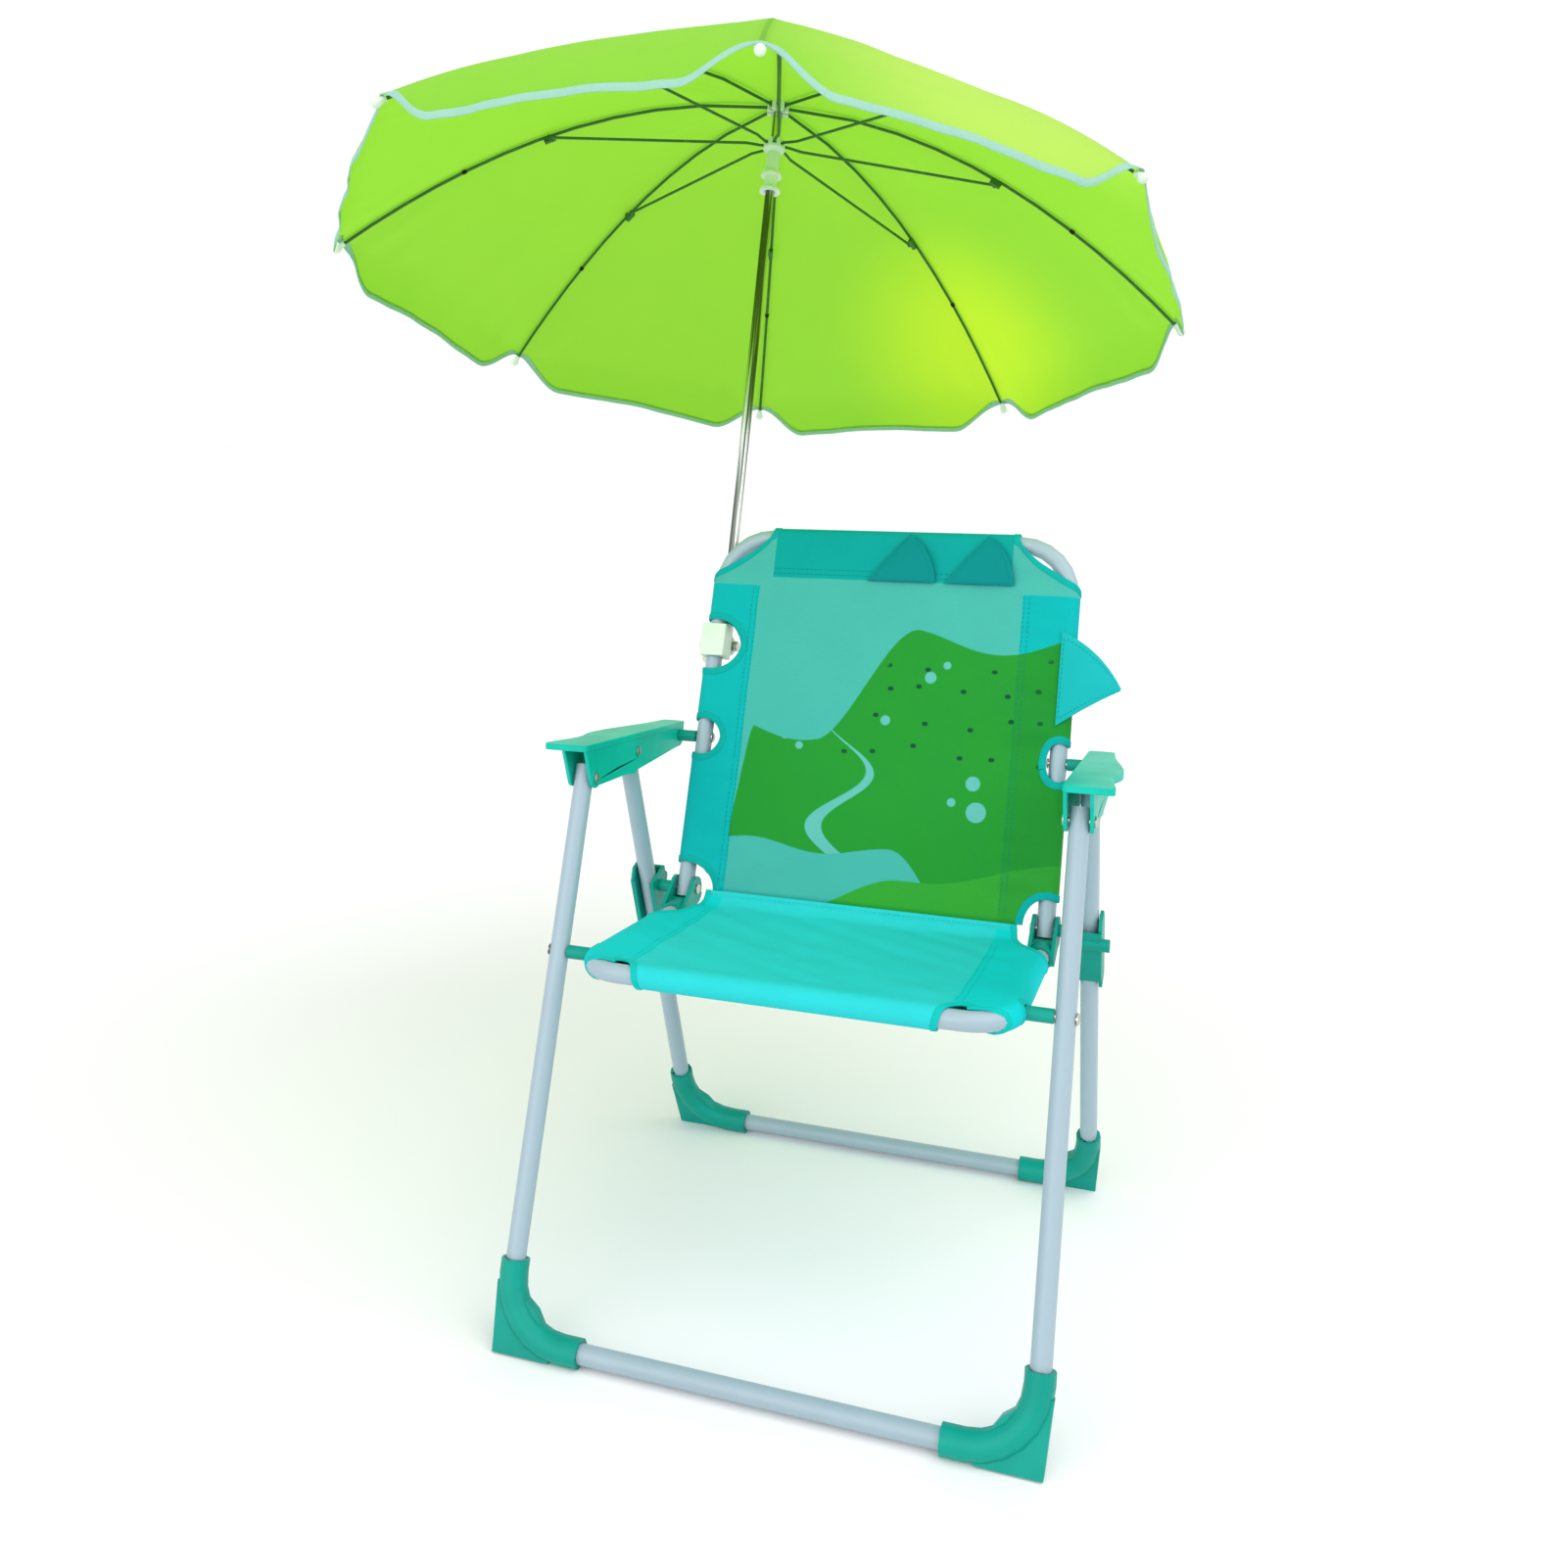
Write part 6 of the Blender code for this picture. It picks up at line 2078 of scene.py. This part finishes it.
@dataclass
class ParasolCover:
    """The parasol's cover: eight panels, each from mid-gore to mid-gore and riding on its rib."""

    plan: ChairPlan
    rack: FinishRack
    span: float = 358.5 * MM
    drop: float = 166.6 * MM
    pivot_radius: float = 7 * MM
    notch_drop: float = 3 * MM
    lift: float = 2.85 * MM
    centre: float = 6.2 * MM
    inset: float = 6 * MM
    hollow: float = 6 * MM
    valance: float = 34 * MM
    flare: float = 12 * MM
    flutter: float = 2.2 * MM
    keep_share: float = 0.50
    radial_steps: int = 30
    half_steps: int = 24
    valance_steps: int = 7
    tie_radius: float = 262 * MM
    least_depth: float = 7 * MM
    hem_lift: float = 0.7 * MM
    near_fan: float = 2.4 * MM
    softness: float = 2.6 * MM
    soft_cells: float = 9
    flutter_pattern: Pattern = (16, 3.3, 0.4)
    length_steps: int = 40
    valance_area: float = 0.93

    def rib_arc(self, radius: float) -> FlatPoint:
        """Height and slope of a rib's wire at a radius, from the pole's top.

        Args:
            radius: Distance from the pole.

        Returns:
            The height and the slope.
        """
        reach, fall = self.span - self.pivot_radius, self.drop - self.notch_drop
        share = max(radius - self.pivot_radius, 0.0) / reach
        return -self.notch_drop - fall * share**2, -2 * fall * share / reach

    def rib_line(self, radius: float) -> FlatPoint:
        """Radius and height of the cloth's middle over a rib, at this radius of the rib.

        Args:
            radius: Distance from the pole.

        Returns:
            The radius and the height.
        """
        height, slope = self.rib_arc(radius)
        way = Vector((1.0, slope)).normalized()
        return radius - way.y * self.lift, height + way.x * self.lift

    def to_frame(self, number: int, out: Vector, height: float) -> Vector:
        """Turns a point beside a rib, out from the pole and across, into the frame.

        Args:
            number: The rib, counted from 0.
            out: Distances out from the pole and across.
            height: Height over the pole's top.

        Returns:
            The point in the frame.
        """
        way = self.plan.rib_ways[number]
        tangent = self.plan.pole_up.cross(way)
        top = self.plan.rib_pivots[number] - way * self.pivot_radius
        top += self.plan.pole_up * self.notch_drop
        return top + way * out.x + tangent * out.y + self.plan.pole_up * height

    def gore_point(self, radius: float, share: float) -> tuple[Vector, float]:
        """A point of the cover beside a rib.

        Args:
            radius: Radius along the rib.
            share: Part of the way to the next rib, from -0.5 to 0.5.

        Returns:
            The place out from the pole and across, and the height.
        """
        out, height = self.rib_line(radius)
        turn = math.tau / len(self.plan.rib_ways) * (1 if share >= 0 else -1)
        near, far = Vector((out, 0)), Vector((math.cos(turn), math.sin(turn))) * out
        part = abs(share)
        bow = 4 * part * (1 - part) * self.hollow * (out / self.span) ** 2
        return near.lerp(far, part), height + bow

    def hang(self, share: float) -> float:
        """How deep the valance hangs beside a rib, as a share of its full depth."""
        part = abs(share)
        return 0.10 + 0.90 * ease(part, 0.0, 0.19) - 0.05 * ease(part, 0.25, 0.5)

    def valance_point(self, number: int, share: float, down: float, lift: float = 0.0) -> Vector:
        """A point of the valance, where down runs from the cover's edge to the hem.

        Args:
            number: The rib, counted from 0.
            share: Part of the way to the next rib, -0.5 to 0.5.
            down: 0 at the cover's edge, 1 at the hem.
            lift: Distance out from the cloth.

        Returns:
            The point in the frame.
        """
        spot, height = self.gore_point(self.span - self.inset, share)
        outward = spot.normalized()
        depth = self.valance * self.hang(share) * down
        bulge = self.flare * math.sin(down * math.pi / 2) * (0.35 + 0.65 * ease(abs(share), 0.0, 0.2))
        phase = 9.0 * share * math.cos(math.pi * share) + number * 1.7
        free = ease(0.5 - abs(share), 0.0, 0.12)
        loose = rumple(share, number, self.flutter_pattern)
        wave = self.flutter * down * math.sin(phase * 2.2) * free
        wave += self.flutter * 0.8 * down * loose * free
        return self.to_frame(number, spot + outward * (bulge + wave + lift), height - depth)

    def cover_point(self, number: int, radius: float, share: float) -> Vector:
        """A point of the taut part of the cover, with small pulls towards the rib's tip.

        Args:
            number: The rib, counted from 0.
            radius: Distance from the pole.
            share: Part of the way to the next rib, -0.5 to 0.5.

        Returns:
            The point in the frame.
        """
        spot, height = self.gore_point(radius, share)
        near_tip = ease(radius, self.span * 0.72, self.span)
        fan = math.sin(abs(share) * 46) * math.exp(-abs(share) * 6) * near_tip * self.near_fan
        soft = rumple(spot.x, spot.y, (self.soft_cells, self.soft_cells, number * 2.1))
        free = ease(0.5 - abs(share), 0.0, 0.15) * ease(abs(share), 0.0, 0.12)
        free *= ease(radius, 0.03, 0.10)
        return self.to_frame(number, spot, height + (fan + soft * self.softness) * free)

    def shares(self) -> list[float]:
        """Places across a panel, closer together beside the rib."""
        halves = [0.5 * (i / self.half_steps) ** 1.25 for i in range(self.half_steps + 1)]
        return [-x for x in reversed(halves[1:])] + halves

    def radii(self) -> list[float]:
        """Radii of the cover's rings, from the cap to its edge.

        Returns:
            The radii.
        """
        end = self.span - self.inset
        return [
            self.centre + (end - self.centre) * (i / self.radial_steps) ** 0.9
            for i in range(self.radial_steps + 1)
        ]

    def panel(self, number: int) -> bpy.types.Object:
        """The cloth from the middle of one gore to the middle of the next, round a rib.

        Args:
            number: The rib, counted from 0.

        Returns:
            The panel's object.
        """
        shares, rows, flat = self.shares(), [], []
        run, before = 0.0, None
        for radius in self.radii():
            rows.append([self.cover_point(number, radius, share) for share in shares])
            middle = rows[-1][self.half_steps]
            run += (middle - before).length if before else 0.0
            before = middle
            flat += self.flat_row(rows[-1], shares, run)
        for step in range(1, self.valance_steps + 1):
            down = step / self.valance_steps
            rows.append([self.valance_point(number, share, down) for share in shares])
            run += self.valance / self.valance_steps
            flat += self.flat_row(rows[-1], shares, run)
        wide = len(shares)
        faces = []
        for i in range(len(rows) - 1):
            for j in range(wide - 1):
                low = i * wide + j
                faces.append((low, low + wide, low + wide + 1, low + 1))
        points = [point for row in rows for point in row]
        obj = mesh_object(f"cover_panel_{number + 1}", points, faces, flat)
        self.match_edges(obj, number, rows)
        return obj

    def flat_row(self, row: Sequence[Vector], shares: Sequence[float], run: float) -> list[FlatPoint]:
        """Flat coordinates of one row of a panel's points, measured out from the rib."""
        middle = row[self.half_steps]
        return [((spot - middle).length * math.copysign(1, s), run) for spot, s in zip(row, shares)]

    def match_edges(self, obj: bpy.types.Object, number: int, rows: Sequence[Sequence[Vector]]) -> None:
        """Gives both side edges the normals of the whole cover, so that panels meet unseen.

        Args:
            obj: The panel.
            number: The rib, counted from 0.
            rows: Its points, row by row.
        """
        mesh = obj.data
        normals = [Vector(vertex.normal) for vertex in mesh.vertices]
        wide = len(rows[0])
        up = self.plan.pole_up
        for i in range(len(rows)):
            for edge, side in ((0, -1), (wide - 1, 1)):
                index = i * wide + edge
                turn = math.pi / len(self.plan.rib_ways) * side
                way = self.plan.rib_ways[number]
                middle = (way * math.cos(turn) + up.cross(way) * math.sin(turn)).normalized()
                across = up.cross(middle)
                normal = normals[index]
                normals[index] = (normal - across * normal.dot(across)).normalized()
        mesh.normals_split_custom_set_from_vertices(normals)

    def hem(self, number: int) -> bpy.types.Object:
        """The pale tape that binds the panel's lower edge and the notch at the rib.

        Args:
            number: The rib, counted from 0.

        Returns:
            The binding's object.
        """
        front = ((5.2, 0.45), (4.6, 0.9), (0.4, 0.95), (-0.6, 0.45))
        section = (*front, (-0.6, -0.3), (0.3, -0.7), (1.0, -0.5))
        points, flat = [], []
        shares = self.shares()
        run, before = 0.0, None
        for share in shares:
            depth = self.valance * self.hang(share)
            here = self.valance_point(number, share, 1.0)
            run += (here - before).length if before else 0.0
            before = here
            for j, (up, lift) in enumerate(section):
                down = 1.0 - up * MM / max(depth, self.least_depth)
                points.append(self.valance_point(number, share, down, lift * self.hem_lift))
                flat.append((j * TAPE_RUN, run))
        return mesh_object(
            f"cover_binding_{number + 1}", points, ring_faces(0, len(shares), len(section)), flat
        )

    def turned_on_rib(
        self, name: str, number: int, radius: float, profile: Sequence[FlatPoint], sides: int = 14
    ) -> bpy.types.Object:
        """A small turned piece round a rib's wire, with its profile as radius and length.

        Args:
            name: The name that it gets.
            number: The rib, counted from 0.
            radius: Distance from the pole.
            profile: Pairs of radius and place along the wire.
            sides: Points in a ring.

        Returns:
            The piece's object.
        """
        height, slope = self.rib_arc(radius)
        centre = self.to_frame(number, Vector((radius, 0)), height)
        way = self.plan.rib_ways[number]
        along = (way + self.plan.pole_up * slope).normalized()
        tangent = self.plan.pole_up.cross(way)
        normal = along.cross(tangent)
        points, flat = [], []
        for out, place in profile:
            for i in range(sides):
                turn = math.tau * i / sides
                ring = tangent * math.cos(turn) + normal * math.sin(turn)
                points.append(centre + along * place + ring * out)
                flat.append((turn * 2 * MM, place))
        return mesh_object(name, points, ring_faces(0, len(profile), sides), flat)

    def tie(self, number: int) -> bpy.types.Object:
        """A few turns of black thread that hold the cloth to the rib.

        Args:
            number: The rib, counted from 0.

        Returns:
            The tie's object.
        """
        end, low, high = 1.35 * MM, 1.6 * MM, 2.1 * MM
        half, pitch, flank = 2.2 * MM, 1.25 * MM, 0.5 * MM
        profile = [(end, -half)]
        for turn in (-1, 0, 1):
            middle = turn * pitch
            profile += [(low, middle - flank), (high, middle), (low, middle + flank)]
        profile.append((end, half))
        return self.turned_on_rib(f"rib_tie_{number + 1}", number, self.tie_radius, profile)

    def tip(self, number: int) -> bpy.types.Object:
        """The moulded cap on the rib's tip, which the cloth's pocket is sewn to.

        Args:
            number: The rib, counted from 0.

        Returns:
            The cap's object.
        """
        profile = millimetres(
            (1.5, -5.0), (2.1, -4.6), (2.3, -1.5), (2.9, 0.2), (3.6, 1.9), (3.75, 3.3), (3.4, 4.9),
            (2.4, 6.2), (1.1, 6.8)
        )
        return self.turned_on_rib(f"rib_tip_{number + 1}", number, self.span, profile)

    def build(self) -> None:
        """Makes every panel with its binding, tie and tip, and hangs them on their ribs."""
        for number, (pivot, way) in enumerate(zip(self.plan.rib_pivots, self.plan.rib_ways)):
            body = f"rib_{number + 1}"
            panel, hem = self.panel(number), self.hem(number)
            tie, tip = self.tie(number), self.tip(number)
            for piece, finish, slot in (
                (panel, "lime_fabric", "lime_fabric"),
                (hem, "cover_tape", "lime_fabric"),
                (tie, "tie_thread", "dark_wire"),
                (tip, "pale_plastic", "pale_plastic"),
            ):
                self.rack.dress(piece, finish)
                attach(piece, body)
            for piece in (panel, hem):
                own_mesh(piece)
            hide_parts("canopy")
            self.declare()
        LOG.info("parasol cover: eight panels, %.0f mm across", 2 * self.span / MM)

    def declare(self) -> None:
        """Works out the width, length and area of a panel's cut, and keeps none of them.
        """
        width = 2 * self.span * math.sin(math.pi / len(self.plan.rib_ways))
        length, before = 0.0, None
        for i in range(self.length_steps + 1):
            part = (self.span - self.inset - self.centre) * i / self.length_steps
            point = Vector(self.rib_line(self.centre + part))
            length += (point - before).length if before else 0.0
            before = point
        area = width * length / 2 + width * self.valance * self.valance_area
        length + self.valance


@dataclass
class PackedPieces:
    """The tubes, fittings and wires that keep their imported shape."""

    rack: FinishRack
    edge: float = 0.25 * MM
    rounded: dict[str, float] = field(
        default_factory=lambda: {
            "clamp_body": 1.4 * MM,
            "armrest_left": 0.9 * MM,
            "armrest_right": 0.9 * MM,
        }
    )

    def shading(self) -> bpy.types.NodeTree:
        """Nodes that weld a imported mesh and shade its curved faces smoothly.

        Returns:
            The group of nodes.
        """
        group = bpy.data.node_groups.new("smooth_packed_faces", "GeometryNodeTree")
        for way in ("INPUT", "OUTPUT"):
            group.interface.new_socket("Geometry", in_out=way, socket_type="NodeSocketGeometry")
        kinds = (
            "NodeGroupInput",
            "GeometryNodeRemoveAttribute",
            "GeometryNodeMergeByDistance",
            "GeometryNodeSetShadeSmooth",
            "GeometryNodeInputMeshEdgeAngle",
            "FunctionNodeCompare",
            "GeometryNodeSetShadeSmooth",
            "NodeGroupOutput",
        )
        start, plain, weld, smooth, angle, sharp, crease, end = map(group.nodes.new, kinds)
        smooth.domain, crease.domain = "FACE", "EDGE"
        sharp.data_type, sharp.operation = "FLOAT", "GREATER_THAN"
        plain.inputs["Name"].default_value = "custom_normal"
        weld.inputs["Distance"].default_value = WELD
        sharp.inputs[1].default_value = SHARP_ANGLE
        crease.inputs["Shade Smooth"].default_value = False
        for source, socket in (
            (start.outputs[0], plain.inputs[0]),
            (plain.outputs[0], weld.inputs["Geometry"]),
            (weld.outputs[0], smooth.inputs["Geometry"]),
            (smooth.outputs[0], crease.inputs["Geometry"]),
            (angle.outputs["Unsigned Angle"], sharp.inputs[0]),
            (sharp.outputs[0], crease.inputs["Selection"]),
            (crease.outputs[0], end.inputs[0]),
        ):
            group.links.new(source, socket)
        return group

    def build(self) -> None:
        """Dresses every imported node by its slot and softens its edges."""
        group = self.shading()
        for row in frame["record"]["subparts"]:
            node = frame["nodes"][row["node"]]
            slot = row["material_slot"]
            # The armrests take the lighter copy of the teal plastic, which is painted light.
            self.rack.dress(node, "arm_plastic_painted_light" if row["node"].startswith("armrest") else slot)
            smooth = node.modifiers.new("smooth_faces", "NODES")
            smooth.node_group = group
            if slot in ("teal_plastic", "pale_plastic"):
                edge = node.modifiers.new("soft_edge", "BEVEL")
                edge.width = self.rounded.get(row["node"], self.edge)
                edge.segments = 3 if row["node"] in self.rounded else 2
                edge.limit_method = "ANGLE"
                edge.angle_limit = SHARP_ANGLE
                edge.harden_normals = True


@dataclass
class Studio:
    """Camera, lamps, floor and backdrop."""

    eye: Vector = field(default_factory=lambda: Vector((0.3844, -1.0688, 0.5777)))
    yaw: float = math.radians(17.99)
    pitch: float = math.radians(-8.04)
    roll: float = math.radians(0.40)
    focal_pixels: float = 1374.0
    horizon_pixel: float = 653.2
    floor_size: float = 400.0
    floor_colour: Colour = srgb(247, 247, 247)
    floor_shade: Colour = srgb(243, 243, 243)
    sky_light: float = 0.68
    key_way: Vector = field(default_factory=lambda: Vector((-0.55, 0.25, -0.75)))
    key_spread: float = 70.0
    key_strength: float = 1.6
    fill_way: Vector = field(default_factory=lambda: Vector((0.35, 0.85, -0.35)))
    fill_spread: float = 60.0
    fill_strength: float = 1.15

    def camera(self) -> None:
        """Places the camera as the photograph's."""
        ahead = Vector(
            (
                -math.sin(self.yaw) * math.cos(self.pitch),
                math.cos(self.yaw) * math.cos(self.pitch),
                math.sin(self.pitch),
            )
        )
        right = ahead.cross(Vector((0, 0, 1))).normalized()
        up = right.cross(ahead)
        right, up = (
            right * math.cos(self.roll) + up * math.sin(self.roll),
            up * math.cos(self.roll) - right * math.sin(self.roll),
        )
        data = bpy.data.cameras.new("photo_camera")
        data.sensor_width = SENSOR
        data.lens = self.focal_pixels / IMAGE_SIDE * SENSOR
        data.shift_y = (self.horizon_pixel - IMAGE_SIDE / 2) / IMAGE_SIDE
        data.clip_start = 0.01
        obj = bpy.data.objects.new("photo_camera", data)
        turn = Matrix((right, up, -ahead)).transposed().to_4x4()
        obj.matrix_world = Matrix.Translation(self.eye) @ turn
        bpy.context.scene.collection.objects.link(obj)
        bpy.context.scene.camera = obj

    def lamp(self, name: str, way: Vector, spread: float, strength: float) -> None:
        """Adds one wide, even light that shines along a direction.

        Args:
            name: The name that it gets.
            way: The direction that it shines along.
            spread: Its angle in degrees.
            strength: Its strength.
        """
        data = bpy.data.lights.new(name, "SUN")
        data.angle = math.radians(spread)
        data.energy = strength
        obj = bpy.data.objects.new(name, data)
        obj.matrix_world = way.to_track_quat("-Z", "Y").to_matrix().to_4x4()
        bpy.context.scene.collection.objects.link(obj)

    def floor(self) -> None:
        """Lays a pale floor that shows white in reflections and keeps the shadow."""
        half = self.floor_size / 2
        corners = [Vector((x, y, 0)) * half for x, y in SQUARE_CORNERS]
        obj = mesh_object("studio_floor", corners, [(0, 1, 2, 3)])
        graph = Graph("studio_floor")
        grain = graph.grain(graph.place(Coordinate.PLACE), 3.0)
        base = graph.mix(grain * 0.2, self.floor_colour, self.floor_shade)
        obj.data.materials.append(graph.finish(graph.shader(Base_Color=base, Roughness=0.9)))

    def world(self) -> None:
        """Lights the object evenly and shows white where a ray meets nothing."""
        world = bpy.data.worlds.new("studio_world")
        world.use_nodes = True
        bpy.context.scene.world = world
        tree = world.node_tree
        tree.nodes.clear()
        path = tree.nodes.new("ShaderNodeLightPath")
        sky, white = (tree.nodes.new("ShaderNodeBackground") for _ in range(2))
        for light, strength in ((sky, self.sky_light), (white, 1.0)):
            light.inputs["Color"].default_value = (1.0, 1.0, 1.0, 1.0)
            light.inputs["Strength"].default_value = strength
        seen, glossy = (tree.nodes.new("ShaderNodeMath") for _ in range(2))
        seen.operation = glossy.operation = "MAXIMUM"
        both = tree.nodes.new("ShaderNodeMixShader")
        out = tree.nodes.new("ShaderNodeOutputWorld")
        for source, socket in (
            (path.outputs["Is Glossy Ray"], glossy.inputs[0]),
            (path.outputs["Is Transmission Ray"], glossy.inputs[1]),
            (path.outputs["Is Camera Ray"], seen.inputs[0]),
            (glossy.outputs[0], seen.inputs[1]),
            (seen.outputs[0], both.inputs[0]),
            (sky.outputs[0], both.inputs[1]),
            (white.outputs[0], both.inputs[2]),
            (both.outputs[0], out.inputs[0]),
        ):
            tree.links.new(source, socket)

    def build(self) -> None:
        """Sets up the whole studio."""
        self.camera()
        self.floor()
        self.world()
        self.lamp("key_lamp", self.key_way, self.key_spread, self.key_strength)
        self.lamp("fill_lamp", self.fill_way, self.fill_spread, self.fill_strength)
        bpy.context.scene.view_settings.view_transform = "Standard"
        LOG.info("studio: camera, two lamps, floor and backdrop")


def main() -> None:
    """Builds every piece in order and reports each."""
    logging.basicConfig(level=logging.INFO, format="%(message)s")
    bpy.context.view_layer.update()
    plan = ChairPlan.read()
    rack = FinishRack()
    PackedPieces(rack).build()
    shape = SlingShape(plan)
    BackSling(shape, rack).build()
    SeatSling(shape, rack).build()
    RimFins(shape, rack).build()
    ParasolCover(plan, rack).build()
    Studio().build()


if __name__ == "__main__":
    main()
